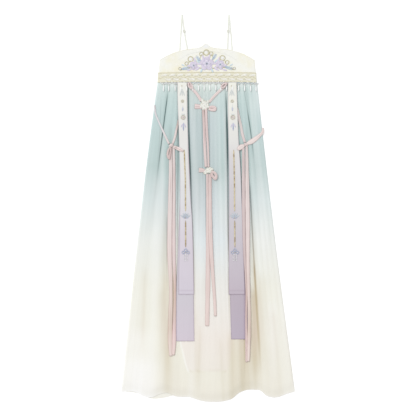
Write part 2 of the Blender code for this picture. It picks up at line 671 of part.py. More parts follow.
def make_slider(name, stop):
    """A flat frame with a middle bar: the strap passes through its two slots."""
    half, bar = stop.width / 2, SLIDER_BAR
    across = stop.across + np.array([-half, -half + bar, half - bar, half])
    slot = (SLIDER_LENGTH - 3 * bar) / 2
    drops = stop.drop + np.cumsum([0.0, bar, slot, bar, slot, bar])
    plan = plan_point(across[None, :], drops[:, None]).reshape(-1, 2)
    slots = (4, 10)  # the middle faces of the second and fourth rows
    faces = [face for k, face in enumerate(grid_faces(6, 4)) if k not in slots]
    lay_on(name, plan, faces, SLIDER_WALL, "pearl")


def rounded(angle, _):
    """Edge of a plain oval."""
    return np.ones_like(angle)


def petals(angle, count):
    """Edge of a blossom: one round petal for each of the count."""
    return 0.70 + 0.30 * np.abs(np.cos(count * angle / 2))


def leaf(angle, _):
    """Edge of a leaf: pointed at both ends of its length."""
    return 0.55 + 0.45 * np.abs(np.cos(angle)) ** 1.5


def make_lobe(name, lobe, outline=rounded, around=18):
    """A rounded piece on rings of points: outline shapes its edge, and pleats ripple it."""
    angle = np.arange(around) * 2 * np.pi / around
    rings = np.array([0.45, 0.8, 1.0])
    edge = outline(angle, lobe.pleats)
    along = (rings[:, None] * edge * np.cos(angle) * lobe.length / 2).ravel()
    aside = (rings[:, None] * edge * np.sin(angle) * lobe.width / 2).ravel()
    turn = np.radians(lobe.turn)
    x = lobe.across + along * np.cos(turn) - aside * np.sin(turn)
    y = WAIST_Y - lobe.drop + along * np.sin(turn) + aside * np.cos(turn)
    plan = np.concatenate([[[lobe.across, WAIST_Y - lobe.drop]], np.column_stack([x, y])])
    after = (np.arange(around) + 1) % around
    faces = [[0, 1 + k, 1 + after[k]] for k in range(around)]
    for ring in range(2):
        inner, outer = 1 + ring * around, 1 + (ring + 1) * around
        faces += [[inner + k, outer + k, outer + after[k], inner + after[k]] for k in range(around)]
    swell = np.array([0.9, 1.0, 0.78, 0.25])
    ripple = 1.0 - 0.32 * (0.5 - 0.5 * np.cos(lobe.pleats * angle))
    wall = lobe.height * np.concatenate([swell[:1], (swell[1:, None] * ripple).ravel()])
    lay_on(name, plan, faces, wall, lobe.cloth)


def main():
    for old in list(bpy.data.objects):
        bpy.data.objects.remove(old)
    make_skirt_back()
    make_bodice_back()
    for name, stops in STRAPS.items():
        make_ribbon(name, stops, "ivory", edge=STRAP_WALL, crown=0.0)
    for name, stop in SLIDERS.items():
        make_slider(name, stop)
    make_lining()
    make_skirt_front()
    make_bodice_front()
    make_braid()
    make_fringe()
    for name, stops in SIDE_ARMS.items():
        make_ribbon(name, stops, "rose", step=12.0)
    for name, edges in TAILS.items():
        make_tail(name, edges, "lavender" if name.endswith("lower") else "tail")
    for name, stops in TIES.items():
        make_ribbon(name, stops, "rose")
    for name, knot in KNOTS.items():
        make_lobe(name, knot)
    for name, blossom in BLOSSOMS.items():
        make_lobe(name, blossom, petals, around=25)
    for name, blade in LEAVES.items():
        make_lobe(name, blade, leaf, around=16)


main()
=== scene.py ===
"""The looks of a strapped hanfu dress that lies flat and face up on a pale floor.

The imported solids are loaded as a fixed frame, and every piece of cloth, braid, bead and
thread is made here in that frame. Sizes are millimetres unless a name says otherwise. A
place on the dress is given as "across", its distance to the right of the middle, and
"drop", its distance down from the waist seam, so places above the seam have a drop below 0.
"""

import logging
from dataclasses import dataclass, replace
from enum import Enum
from typing import Callable, NamedTuple, Sequence

import bpy
import numpy as np
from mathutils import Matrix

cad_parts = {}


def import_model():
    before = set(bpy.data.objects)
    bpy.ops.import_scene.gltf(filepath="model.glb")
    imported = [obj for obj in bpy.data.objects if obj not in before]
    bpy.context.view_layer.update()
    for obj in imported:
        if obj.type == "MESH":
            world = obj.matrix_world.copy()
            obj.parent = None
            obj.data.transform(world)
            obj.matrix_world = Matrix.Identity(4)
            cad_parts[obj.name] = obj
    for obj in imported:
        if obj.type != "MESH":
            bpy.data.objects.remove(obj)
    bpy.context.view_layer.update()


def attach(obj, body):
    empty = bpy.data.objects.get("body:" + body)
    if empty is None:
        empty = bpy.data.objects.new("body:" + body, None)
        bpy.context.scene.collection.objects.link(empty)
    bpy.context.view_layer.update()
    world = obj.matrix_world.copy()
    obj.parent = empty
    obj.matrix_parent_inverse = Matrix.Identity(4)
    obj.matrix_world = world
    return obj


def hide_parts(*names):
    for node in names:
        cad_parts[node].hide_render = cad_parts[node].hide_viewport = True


LOG = logging.getLogger("dress")
Array = np.ndarray
Socket = bpy.types.NodeSocket
Paint = tuple[float, float, float, float]  # linear light
Colour = tuple[int, int, int]  # sRGB
Tone = tuple[int, int, int, int]  # a drop below the waist seam and the colour seen there
Edges = tuple[tuple[float, float, float], ...]  # rows of a band's drop, left edge and right edge
Stops = Sequence[Sequence[float]]  # rows of numbers, such as the places that a line runs through
Table = tuple[tuple, ...]  # rows of numbers, some of which start with a name

MM = 0.001
WAIST_Y = 434.7  # the waist seam's place along the dress
WAIST_BOW = 2.2  # how far the middle of the waist rises over its ends
LONGEST_DROP = 1104.0
DOME_POWER = 2.4  # how square the cloth's fullness is from side to side
CREASE_POWER = 1.6  # how steeply a crease's sides rise
STUDIO_GAIN = 1.10  # how much brighter than its own paint a level surface looks


# ---------------------------------------------------------------- numbers and surfaces


def smooth_curve(stations: Sequence[float], values: Sequence[float], at: Array) -> Array:
    """Evaluates cubic pieces through (station, value) whose slopes agree at each station.

    Args:
        stations: Rising places at which a value is given.
        values: The value at each station.
        at: Where the curve is wanted.

    Returns:
        The curve's value at each place.
    """
    stations, values = np.asarray(stations, float), np.asarray(values, float)
    at = np.asarray(at, float)
    if len(stations) == 2:
        return values[0] + (values[1] - values[0]) * (at - stations[0]) / np.ptp(stations)
    slopes = np.gradient(values, stations)
    piece = np.clip(np.searchsorted(stations, at) - 1, 0, len(stations) - 2)
    span = stations[piece + 1] - stations[piece]
    s = (at - stations[piece]) / span
    rise = values[piece + 1] - values[piece]
    start, end = slopes[piece] * span, slopes[piece + 1] * span
    return values[piece] + s * (start + s * (3 * rise - 2 * start - end + s * (start + end - 2 * rise)))


def weights(stations: Sequence[float], at: Array) -> Array:
    """The share that each station's value has in the smooth curve, at each place."""
    return np.stack([smooth_curve(stations, row, at) for row in np.eye(len(stations))])


def ease(low: float, high: float, at: Array) -> Array:
    """A soft step: 0 up to low, 1 from high on, and a cubic between them."""
    share = np.clip((at - low) / (high - low), 0.0, 1.0)
    return share * share * (3 - 2 * share)


def wobble(at: Array, wavelength: float, seed: int) -> Array:
    """An uneven wave from -1 to 1: three sines of nearby lengths with seeded phases."""
    draw = np.random.default_rng(seed)
    lengths = wavelength * draw.uniform(0.6, 1.5, 3)
    phases = draw.uniform(0.0, 2 * np.pi, 3)
    at = np.asarray(at, float)[..., None]
    return np.sin(2 * np.pi * at / lengths + phases).mean(axis=-1)


def circle(count: int, first: float = 0.0) -> Array:
    """Even places round a level circle of radius 1, the first of them turned by an angle."""
    angle = np.arange(count) * 2 * np.pi / count + first
    return np.column_stack([np.cos(angle), np.sin(angle), 0 * angle])


def lengths_along(line: Array) -> Array:
    """The distance from a line's start to each of its points."""
    return np.concatenate([[0.0], np.cumsum(np.linalg.norm(np.diff(line, axis=0), axis=1))])


def plan(across: Array, drop: Array, height: Array = 0.0) -> Array:
    """Points of the frame, in millimetres, from places on the dress."""
    parts = np.broadcast_arrays(across, WAIST_Y - np.asarray(drop, float), height)
    return np.stack(parts, axis=-1).astype(float)


class Patch(NamedTuple):
    """A stretch of surface.

    points is (n, 3). faces is (m, 4) places in it, anticlockwise from outside, with -1 last
    where a face has three corners. cloth is (m, 4, 2), each corner's place on the flat
    cloth. marks holds one value a point under each name.
    """

    points: Array
    faces: Array
    cloth: Array
    marks: dict[str, Array]


def grid(points: Array, cloth: Array, marks: dict[str, Array] | None = None, wrap: bool = False) -> Patch:
    """Joins a grid of points into four-sided faces.

    Args:
        points: (rows, columns, 3), where a row's step crossed with a column's points out.
        cloth: (rows, columns, 2) places on the flat cloth.
        marks: (rows, columns) values by name.
        wrap: Whether the last column meets the first, as round a tube.

    Returns:
        The surface, whose ends are open.
    """
    rows, columns = points.shape[:2]
    reach = columns if wrap else columns - 1
    row, column = np.divmod(np.arange((rows - 1) * reach), reach)
    here, after = row * columns + column, row * columns + (column + 1) % columns
    faces = np.column_stack([here, here + columns, after + columns, after])
    corners = cloth.reshape(-1, 2)[faces]
    if wrap:
        girth = cloth[..., 0].max() + np.abs(cloth[0, 1, 0] - cloth[0, 0, 0])
        corners[column == columns - 1, 2:, 0] += girth
    flat = {name: np.broadcast_to(value, (rows, columns)).ravel() for name, value in (marks or {}).items()}
    return Patch(points.reshape(-1, 3), faces, corners, flat)


def capped(body: Patch, columns: int, poles: Sequence) -> Patch:
    """A wrapped grid with a fan of triangles from a pole over each of its two ends."""
    count, ring = len(body.points), np.arange(columns)
    after, none = (ring + 1) % columns, np.full(columns, -1)
    start = np.column_stack([np.full(columns, count), ring, after, none])
    end = np.column_stack([np.full(columns, count + 1), after, ring, none])
    end[:, 1:3] += count - columns
    faces = np.concatenate([body.faces, start, end])
    cloth = np.concatenate([body.cloth, np.zeros((2 * columns, 4, 2))])
    marks = {name: np.append(value, [value[0], value[-1]]) for name, value in body.marks.items()}
    return Patch(np.vstack([body.points, poles]), faces, cloth, marks)


def turned(profile: Sequence[tuple[float, float]], around: int, outline: Array | None = None) -> Patch:
    """A closed shape: rings of the profile's radii, each drawn in or out by the outline.

    Args:
        profile: (radius, height) from the top of the shape to its foot; both ends are poles.
        around: Points on a ring.
        outline: Each ring point's share of the radius, or none for a round shape.

    Returns:
        The surface, with its own across and along as its places on the cloth.
    """
    radii, heights = np.array(profile, float).T
    rings = radii[1:-1, None, None] * (circle(around)[:, :2] * (1.0 if outline is None else outline[:, None]))
    points = np.dstack([rings, np.broadcast_to(heights[1:-1, None, None], (*rings.shape[:2], 1))])
    poles = [[0.0, 0.0, heights[0]], [0.0, 0.0, heights[-1]]]
    shape = capped(grid(points, points[..., :2], wrap=True), around, poles)
    return shape._replace(cloth=shape.points[np.maximum(shape.faces, 0), :2])


def merged(parts: Sequence[Patch]) -> Patch:
    """Several patches as one, without joining their points."""
    firsts = np.cumsum([0] + [len(part.points) for part in parts])
    faces = [np.where(part.faces < 0, -1, part.faces + first) for part, first in zip(parts, firsts)]
    names = sorted({name for part in parts for name in part.marks})
    marks = {n: np.concatenate([p.marks.get(n, np.zeros(len(p.points))) for p in parts]) for n in names}
    points, cloth = (np.concatenate([getattr(part, key) for part in parts]) for key in ("points", "cloth"))
    return Patch(points, np.concatenate(faces), cloth, marks)


def scatter(shape: Patch, places: Array, turns: Array = 0.0, sizes: Array = 1.0) -> Patch:
    """Copies of a shape, each turned about +Z, scaled and moved to its own place."""
    places = np.atleast_2d(places)
    count, each = len(places), len(shape.points)
    turns = np.broadcast_to(turns, count)
    points = shape.points[None] * np.broadcast_to(sizes, (count, 3))[:, None]
    cos, sin = np.cos(turns)[:, None], np.sin(turns)[:, None]
    x, y = points[..., 0] * cos - points[..., 1] * sin, points[..., 0] * sin + points[..., 1] * cos
    moved = np.stack([x, y, points[..., 2]], axis=-1) + places[:, None]
    step = (np.arange(count) * each)[:, None, None]
    faces = np.where(shape.faces < 0, -1, shape.faces + step).reshape(-1, 4)
    marks = {name: np.tile(value, count) for name, value in shape.marks.items()}
    return Patch(moved.reshape(-1, 3), faces, np.tile(shape.cloth, (count, 1, 1)), marks)


def moved(patch: Patch, shift: Sequence[float], turn: float = 0.0) -> Patch:
    """One copy of a shape, turned about +Z and then moved."""
    return scatter(patch, np.array([shift], float), np.array([turn]))


def make_piece(
    name: str, layers: Sequence[tuple[Patch, "Finish"]], thickness: float = 0.0
) -> bpy.types.Object:
    """Makes one object of patches.

    Args:
        name: The object's name.
        layers: Each patch with its finish.
        thickness: The wall that is added under the surface, with sharp rims, or 0 for none.

    Returns:
        The object, at the origin, smooth, with its places on the cloth as a UV map in metres.
    """
    whole = merged([patch for patch, _ in layers])
    kept = whole.faces >= 0
    sides = kept.sum(axis=1)
    mesh = bpy.data.meshes.new(name)
    mesh.vertices.add(len(whole.points))
    mesh.vertices.foreach_set("co", (whole.points * MM).ravel())
    mesh.loops.add(int(sides.sum()))
    mesh.loops.foreach_set("vertex_index", whole.faces[kept].astype(np.int32))
    mesh.polygons.add(len(sides))
    mesh.polygons.foreach_set("loop_start", (np.cumsum(sides) - sides).astype(np.int32))
    finishes = list(dict.fromkeys(finish for _, finish in layers))
    slots = np.concatenate([np.full(len(patch.faces), finishes.index(finish)) for patch, finish in layers])
    mesh.polygons.foreach_set("material_index", slots.astype(np.int32))
    mesh.update(calc_edges=True)
    places = (whole.cloth * MM)[kept].ravel().astype(np.float32)
    mesh.uv_layers.new(name="cloth").uv.foreach_set("vector", places)
    for mark, values in whole.marks.items():
        mesh.attributes.new(mark, "FLOAT", "POINT").data.foreach_set("value", values.astype(np.float32))
    for finish in finishes:
        mesh.materials.append(finish.material())
    mesh.validate()
    mesh.shade_smooth()
    obj = bpy.data.objects.new(name, mesh)
    bpy.context.scene.collection.objects.link(obj)
    if thickness:
        beside = np.zeros(len(mesh.loops), dtype=np.int32)
        mesh.loops.foreach_get("edge_index", beside)
        rims = mesh.attributes.new("sharp_edge", "BOOLEAN", "EDGE")
        rims.data.foreach_set("value", np.bincount(beside, minlength=len(mesh.edges)) == 1)
        wall = obj.modifiers.new("wall", "SOLIDIFY")
        wall.thickness, wall.offset = thickness * MM, -1.0
    return obj


def place_piece(
    obj: bpy.types.Object,
    nodes: Sequence[str] = (),
) -> bpy.types.Object:
    """Fixes a piece to the dress's body and hides the solids that it stands for.

    Args:
        obj: The piece.
        nodes: The solids that it stands for.

    Returns:
        The piece.
    """
    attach(obj, "root")
    if nodes:
        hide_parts(*nodes)
    LOG.info("%s: %d points", obj.name, len(obj.data.vertices))
    return obj


class Pile:
    """The highest surface laid so far, as heights on a grid of 1 mm cells."""

    def __init__(self) -> None:
        """Starts with the bare floor."""
        self.low = np.array([-312.0, -682.0])
        self.heights = np.zeros((1365, 625))

    def cells(self) -> tuple[Array, Array]:
        """The across and drop of every cell."""
        y, x = np.indices(self.heights.shape)
        return x + self.low[0], WAIST_Y - (y + self.low[1])

    def lay(self, points: Array, spacing: float = 0.7) -> None:
        """Adds a grid of points, filled in until its steps are shorter than the spacing."""
        for axis in (0, 1):
            step = np.linalg.norm(np.diff(points[..., :2], axis=axis), axis=-1).max()
            count = max(2, int(np.ceil(step / spacing)) * (points.shape[axis] - 1) + 1)
            at = np.linspace(0, points.shape[axis] - 1, count)
            here = np.minimum(at.astype(int), points.shape[axis] - 2)
            part = (at - here).reshape((-1, 1, 1) if axis == 0 else (1, -1, 1))
            points = np.take(points, here, axis) * (1 - part) + np.take(points, here + 1, axis) * part
        x, y = np.rint(points[..., :2] - self.low).astype(int).reshape(-1, 2).T
        np.maximum.at(self.heights, (y, x), points[..., 2].ravel())

    def resting(self, x: Array, y: Array, reach: int) -> Array:
        """Heights at which cloth rests when it bridges hollows that are narrow.

        The pile is raised to its highest point within the reach, which is then evened out
        over the same reach, so the result is smooth and never below the pile.
        """
        margin = 2 * reach + 2
        low = np.floor([y.min() - self.low[1], x.min() - self.low[0]]).astype(int) - margin
        high = np.ceil([y.max() - self.low[1], x.max() - self.low[0]]).astype(int) + margin + 2
        low, high = np.maximum(low, 0), np.minimum(high, self.heights.shape)
        window = self.heights[low[0] : high[0], low[1] : high[1]]
        for axis in (0, 1):
            window = run_over(window, reach, axis, np.max)
        for half in (reach - reach // 2, reach // 2) if reach > 1 else (reach,):
            for axis in (0, 1):
                window = run_over(window, half, axis, np.mean)
        row, column = y - self.low[1] - low[0], x - self.low[0] - low[1]
        r = np.clip(row.astype(int), 0, window.shape[0] - 2)
        c = np.clip(column.astype(int), 0, window.shape[1] - 2)
        a, b = row - r, column - c
        upper = window[r, c] * (1 - b) + window[r, c + 1] * b
        lower = window[r + 1, c] * (1 - b) + window[r + 1, c + 1] * b
        return upper * (1 - a) + lower * a

    def drape(self, patch: Patch, reach: int = 1, lift: float = 0.0) -> Patch:
        """A patch made over a level plan, raised by what lies under each of its points."""
        rest = self.resting(patch.points[:, 0], patch.points[:, 1], reach)
        return patch._replace(points=patch.points + np.column_stack([0 * rest, 0 * rest, rest + lift]))


def run_over(values: Array, half: int, axis: int, rule: Callable) -> Array:
    """A running maximum or mean along one axis, over half cells on each side."""
    pad = [(0, 0), (0, 0)]
    pad[axis] = (half, half)
    view = np.lib.stride_tricks.sliding_window_view(np.pad(values, pad, mode="edge"), 2 * half + 1, axis)
    return rule(view, axis=-1)


# ---------------------------------------------------------------- finishes


def seen(red: int, green: int, blue: int) -> Paint:
    """The paint that looks like an sRGB colour in the studio light."""
    linear = np.array(tint(red, green, blue)[:3])
    return (*np.clip(linear / STUDIO_GAIN, 0.0, 0.95).tolist(), 1.0)


def tint(red: int, green: int, blue: int) -> Paint:
    """An sRGB colour as linear light, for multiplying another colour by."""
    share = np.array([red, green, blue]) / 255
    linear = np.where(share <= 0.04045, share / 12.92, ((share + 0.055) / 1.055) ** 2.4)
    return (*linear.tolist(), 1.0)


class Board:
    """Short calls that lay nodes out on one node tree."""

    def __init__(self, tree: bpy.types.NodeTree) -> None:
        """Keeps the tree."""
        self.tree = tree

    def put(self, kind: str, given: dict | None = None, out: int | str = 0, **settings: object) -> Socket:
        """Adds a node.

        Args:
            kind: The node's type.
            given: A number, colour or socket for each input that isn't left as it is.
            out: Which output is wanted.
            settings: The node's own properties.

        Returns:
            That output.
        """
        node = self.tree.nodes.new(kind)
        for key, value in settings.items():
            setattr(node, key, value)
        for key, value in (given or {}).items():
            if isinstance(value, Socket):
                self.tree.links.new(value, node.inputs[key])
            else:
                node.inputs[key].default_value = value
        return node.outputs[out]

    def math(self, rule: str, *given: Socket | float, clamp: bool = False) -> Socket:
        """One sum of up to three numbers."""
        return self.put("ShaderNodeMath", dict(enumerate(given)), operation=rule, use_clamp=clamp)

    def mix(self, share: Socket | float, one: Socket, two: Socket | Paint, rule: str = "MIX") -> Socket:
        """Two colours mixed."""
        given = {0: share, 6: one, 7: two}
        return self.put("ShaderNodeMix", given, 2, data_type="RGBA", blend_type=rule, clamp_factor=True)

    def ramp(self, at: Socket, stops: Sequence[tuple[float, Paint]], rule: str = "EASE") -> Socket:
        """A run of colours."""
        out = self.put("ShaderNodeValToRGB", {0: at})
        band = out.node.color_ramp
        band.interpolation = rule
        for place, paint in stops[1:-1]:
            band.elements.new(place).color = paint
        for element, (place, paint) in ((band.elements[0], stops[0]), (band.elements[-1], stops[-1])):
            element.position, element.color = place, paint
        return out

    def tones(self, tones: Sequence[Tone]) -> Socket:
        """The colour of a table of tones, by the drop of each point."""
        y = self.part(self.place(), 1)
        low, high = tones[0][0], tones[-1][0]
        ends = {1: (WAIST_Y - low) * MM, 2: (WAIST_Y - high) * MM, 3: 0.0, 4: 1.0}
        share = self.put("ShaderNodeMapRange", {0: y, **ends})
        stops = [((drop - low) / (high - low), seen(*colour)) for drop, *colour in tones]
        return self.ramp(share, stops, "LINEAR")

    def place(self) -> Socket:
        """The place on the dress, in metres."""
        return self.put("ShaderNodeTexCoord", out="Object")

    def part(self, at: Socket, axis: int) -> Socket:
        """A place's distance along one axis."""
        return self.put("ShaderNodeSeparateXYZ", {0: at}, axis)

    def darken(self, mark: str, colour: Socket, by: Colour) -> Socket:
        """A colour multiplied by another wherever the mesh is marked."""
        return self.mix(self.mark(mark), colour, tint(*by), "MULTIPLY")

    def cloth(self) -> Socket:
        """The place on the flat cloth, in metres."""
        return self.put("ShaderNodeUVMap", uv_map="cloth")

    def mark(self, name: str) -> Socket:
        """A value kept at each point of the mesh."""
        return self.put("ShaderNodeAttribute", out="Fac", attribute_name=name)

    def stretch(self, at: Socket, across: float, along: float) -> Socket:
        """A place scaled across and along."""
        return self.put("ShaderNodeVectorMath", {0: at, 1: (across, along, 1.0)}, operation="MULTIPLY")

    def noise(self, at: Socket, scale: float, detail: float = 2.0) -> Socket:
        """Soft unevenness from 0 to 1."""
        return self.put("ShaderNodeTexNoise", {"Vector": at, "Scale": scale, "Detail": detail})

    def bump(self, height: Socket, depth: float, under: Socket | None = None) -> Socket:
        """A normal from a height of 0 to 1 that stands for a depth in millimetres."""
        given = {"Height": height, "Distance": depth * MM, "Strength": 1.0}
        return self.put("ShaderNodeBump", given | ({"Normal": under} if under else {}))

    def use(self, effect: bpy.types.NodeTree, out: str, **given: Socket | float) -> Socket:
        """One output of a shared effect, worked out on the flat cloth."""
        return self.put("ShaderNodeGroup", {"Cloth": self.cloth()} | given, out, node_tree=effect)


def effect(
    name: str, takes: dict[str, str], gives: Sequence[str], wire: Callable[[Board, dict], dict]
) -> bpy.types.NodeTree:
    """Builds a shared effect as a node group, once.

    Args:
        name: The group's name.
        takes: The kind of socket of each input.
        gives: The outputs, all plain numbers.
        wire: Lays out the nodes: from the inputs by name to the outputs by name.

    Returns:
        The group.
    """
    tree = bpy.data.node_groups.get(name)
    if tree:
        return tree
    tree = bpy.data.node_groups.new(name, "ShaderNodeTree")
    for label, kind in takes.items():
        tree.interface.new_socket(label, in_out="INPUT", socket_type=kind)
    for label in gives:
        tree.interface.new_socket(label, in_out="OUTPUT", socket_type="NodeSocketFloat")
    enter, leave = tree.nodes.new("NodeGroupInput"), tree.nodes.new("NodeGroupOutput")
    made = wire(Board(tree), {label: enter.outputs[label] for label in takes})
    for label, socket in made.items():
        tree.links.new(socket, leave.inputs[label])
    return tree


VECTOR, NUMBER = "NodeSocketVector", "NodeSocketFloat"


def weave() -> bpy.types.NodeTree:
    """Plain weave: the higher of two sets of round threads, which pass over in turn."""

    def wire(board: Board, given: dict) -> dict:
        """Height is |sin| of each thread, weighed by a wave that swaps which lies on top."""
        places = [board.part(given["Cloth"], axis) for axis in (0, 1)]
        turns = [board.math("MULTIPLY", board.math("MULTIPLY", at, given["Threads"]), np.pi) for at in places]
        rows = [board.math("ABSOLUTE", board.math("SINE", turn)) for turn in turns]
        waves = [board.math("COSINE", turn) for turn in turns]
        over = board.math("MULTIPLY_ADD", board.math("MULTIPLY", *waves), 0.35, 0.5)
        one = board.math("MULTIPLY", rows[0], over)
        two = board.math("MULTIPLY", rows[1], board.math("SUBTRACT", 1.0, over))
        return {"Height": board.math("MAXIMUM", one, two)}

    return effect("weave", {"Cloth": VECTOR, "Threads": NUMBER}, ["Height"], wire)


def mottle() -> bpy.types.NodeTree:
    """Slow unevenness of dye and thread, from -1 to 1, drawn out along the cloth."""

    def wire(board: Board, given: dict) -> dict:
        """A broad noise and a streaked one, added."""
        broad = board.noise(given["Cloth"], 14.0, 3.0)
        streaks = board.noise(board.stretch(given["Cloth"], 260.0, 5.0), 1.0, 2.0)
        return {"Value": board.math("SUBTRACT", board.math("ADD", broad, streaks), 1.0)}

    return effect("mottle", {"Cloth": VECTOR}, ["Value"], wire)


def satin_stitch() -> bpy.types.NodeTree:
    """Close parallel threads that lean with the piece, as in raised embroidery."""

    def wire(board: Board, given: dict) -> dict:
        """Height is |sin| of the place across the threads, which a soft noise sways."""
        sway = board.math("MULTIPLY", board.noise(given["Cloth"], 180.0), 0.0016)
        across = board.math("ADD", board.part(given["Cloth"], 1), sway)
        turn = board.math("MULTIPLY", across, given["Threads"])
        return {"Height": board.math("ABSOLUTE", board.math("SINE", board.math("MULTIPLY", turn, np.pi)))}

    return effect("satin_stitch", {"Cloth": VECTOR, "Threads": NUMBER}, ["Height"], wire)


@dataclass(frozen=True)
class Finish:
    """What every finish has: a name and how it takes the light."""

    name: str
    roughness: float = 0.8
    sheen: float = 0.0
    metallic: float = 0.0
    coat: float = 0.0

    def material(self) -> bpy.types.Material:
        """The finish's material, made once."""
        made = bpy.data.materials.get(f"look_{self.name}")
        if made:
            return made
        made = bpy.data.materials.new(f"look_{self.name}")
        made.use_nodes = True
        shader = made.node_tree.nodes["Principled BSDF"]
        looks = {
            "Roughness": self.roughness, "Sheen Weight": self.sheen, "Sheen Roughness": 0.4,
            "Metallic": self.metallic, "Coat Weight": self.coat, "Coat Roughness": 0.15,
            "Specular IOR Level": 0.25,
        }
        for label, value in looks.items():
            shader.inputs[label].default_value = value
        board = Board(made.node_tree)
        colour, normal = self.wire(board)
        made.node_tree.links.new(colour, shader.inputs["Base Color"])
        made.node_tree.links.new(normal, shader.inputs["Normal"])
        return made

    def wire(self, board: Board) -> tuple[Socket, Socket]:
        """Lays out the finish's nodes and returns its colour and its normal."""
        raise NotImplementedError

    def woven(
        self, board: Board, soft: Sequence[float], detail: float, depth: float, threads: float, relief: float
    ) -> Socket:
        """A normal: a weave of some threads a metre over soft noise stretched across and along."""
        slack = board.bump(board.noise(board.stretch(board.cloth(), *soft), 1.0, detail), depth)
        return board.bump(board.use(weave(), "Height", Threads=threads), relief, slack)

    def uneven(self, board: Board, colour: Socket, strength: float) -> Socket:
        """A colour made lighter and darker by the cloth's unevenness."""
        gain = board.math("MULTIPLY_ADD", board.use(mottle(), "Value"), strength, 1.0)
        grey = board.put("ShaderNodeCombineXYZ", {0: gain, 1: gain, 2: gain})
        return board.mix(1.0, colour, grey, "MULTIPLY")


@dataclass(frozen=True)
class Chiffon(Finish):
    """Sheer cloth with a dipped dye: teal at the waist and cream at the hem."""

    single: tuple[Tone, ...] = ()
    lined: tuple[Tone, ...] = ()
    side: tuple[Tone, ...] = ()
    shade: tuple[Tone, ...] = ()
    crease_shade: tuple[Tone, ...] = ()

    def wire(self, board: Board) -> tuple[Socket, Socket]:
        """Dye by drop, over the lining and off it, then paler sides, painted light, painted shade and painted
        crease shade.
        """
        colour = board.mix(board.mark("lined"), board.tones(self.single), board.tones(self.lined))
        colour = board.mix(board.mark("side"), colour, board.tones(self.side))
        colour = self.uneven(board, colour, 0.05)
        # Painted light, painted shade and painted crease shade (the fold mark), each mixed in where its mark
        # is.
        colour = board.mix(board.mark("light"), colour, seen(255, 255, 255))
        colour = board.mix(board.mark("shade"), colour, board.tones(self.shade))
        colour = board.mix(board.mark("fold"), colour, board.tones(self.crease_shade))
        return colour, self.woven(board, (300.0, 22.0), 3.0, 0.35, 1500.0, 0.12)


@dataclass(frozen=True)
class Plain(Finish):
    """Evenly dyed woven cloth, whose colour may still change with the drop."""

    tones: tuple[Tone, ...] = ()
    threads: float = 1500.0
    relief: float = 0.12
    mottling: float = 0.05
    edge: Colour | None = None
    dim: Colour | None = None

    def wire(self, board: Board) -> tuple[Socket, Socket]:
        """Tones by drop, painted shade where it is marked, the edge colour where the edge is marked (seams on
        a tail, painted shade in a gauze knot's pleats), and a weave.
        """
        colour = board.tones(self.tones)
        if self.dim:
            colour = board.darken("dim", colour, self.dim)
        if self.edge:
            colour = board.darken("edge", colour, self.edge)
        colour = self.uneven(board, colour, self.mottling)
        return colour, self.woven(board, (70.0, 20.0), 2.0, 0.4, self.threads, self.relief)


@dataclass(frozen=True)
class Ribbon(Finish):
    """Soft satin folded lengthwise, with painted shade at its edges and along its pleats."""

    tones: tuple[Tone, ...] = ()
    # The two colours below paint shade: at the ribbon's rims, and along its pleats.
    edge: Colour = (232, 218, 219)
    pleat: Colour = (206, 182, 182)

    def wire(self, board: Board) -> tuple[Socket, Socket]:
        """Tones by drop, then painted shade at the rims and along the pleats, under a fine satin weave."""
        colour = self.uneven(board, board.tones(self.tones), 0.08)
        colour = board.darken("pleat", board.darken("rim", colour, self.edge), self.pleat)
        return colour, self.woven(board, (400.0, 40.0), 2.0, 0.5, 2600.0, 0.05)


@dataclass(frozen=True)
class Jacquard(Finish):
    """Ivory cloth with a small woven flower in staggered rows and a few warm patches."""

    ground: Colour = (246, 246, 239)
    warm: Colour = (244, 239, 214)
    figure: Colour = (250, 249, 243)
    tip: Colour = (243, 244, 244)
    repeat: float = 24.0
    petals: int = 5

    def wire(self, board: Board) -> tuple[Socket, Socket]:
        """A flower is where the distance from its middle is under a wave of the angle."""
        place = board.stretch(board.cloth(), 1 / (self.repeat * MM), 1 / (self.repeat * MM))
        x, y = board.part(place, 0), board.part(place, 1)
        shifted = board.math("MULTIPLY_ADD", board.math("FLOOR", y), 0.5, x)
        local = [board.math("SUBTRACT", board.math("FRACT", part), 0.5) for part in (shifted, y)]
        away = board.math("SQRT", board.math("ADD", *[board.math("MULTIPLY", part, part) for part in local]))
        angle = board.math("ARCTAN2", local[1], local[0])
        wave = board.math("COSINE", board.math("MULTIPLY", angle, float(self.petals)))
        edge = board.math("MULTIPLY_ADD", wave, 0.09, 0.25)
        inside = board.math("MULTIPLY", board.math("SUBTRACT", edge, away), 18.0, clamp=True)
        patches = board.put("ShaderNodeMapRange", {0: board.noise(board.cloth(), 15.0), 1: 0.40, 2: 0.68})
        colour = board.mix(patches, seen(*self.ground), seen(*self.warm))
        colour = board.mix(board.math("MULTIPLY", inside, 0.5), colour, seen(*self.figure))
        colour = board.mix(board.mark("tip"), colour, seen(*self.tip))
        weft = board.use(weave(), "Height", Threads=1400.0)
        return self.uneven(board, colour, 0.04), board.bump(weft, 0.12, board.bump(inside, 0.25))


@dataclass(frozen=True)
class Stitch(Finish):
    """Raised satin stitch, deeper in tone towards the foot of each petal."""

    light: Colour = (0, 0, 0)
    dark: Colour = (0, 0, 0)
    threads: float = 1800.0
    shade_size: float = 12.0
    dashes: float = 0.0

    def wire(self, board: Board) -> tuple[Socket, Socket]:
        """Two shades blended along the threads, a painted highlight on each thread's crest, under the
        threads' own relief.
        """
        ends = (-0.5 * self.shade_size * MM, 0.5 * self.shade_size * MM)
        run = {0: board.part(board.cloth(), 0), 1: ends[0], 2: ends[1]}
        if self.dashes:
            run = {0: board.noise(board.place(), self.dashes), 1: 0.42, 2: 0.58}
        share = board.put("ShaderNodeMapRange", run)
        height = board.use(satin_stitch(), "Height", Threads=self.threads)
        colour = board.mix(share, seen(*self.dark), seen(*self.light))
        # Painted highlight: the crest of each thread is mixed towards the light shade.
        colour = board.mix(board.math("MULTIPLY", height, 0.35), colour, seen(*self.light))
        return self.uneven(board, colour, 0.08), board.bump(height, 0.25)


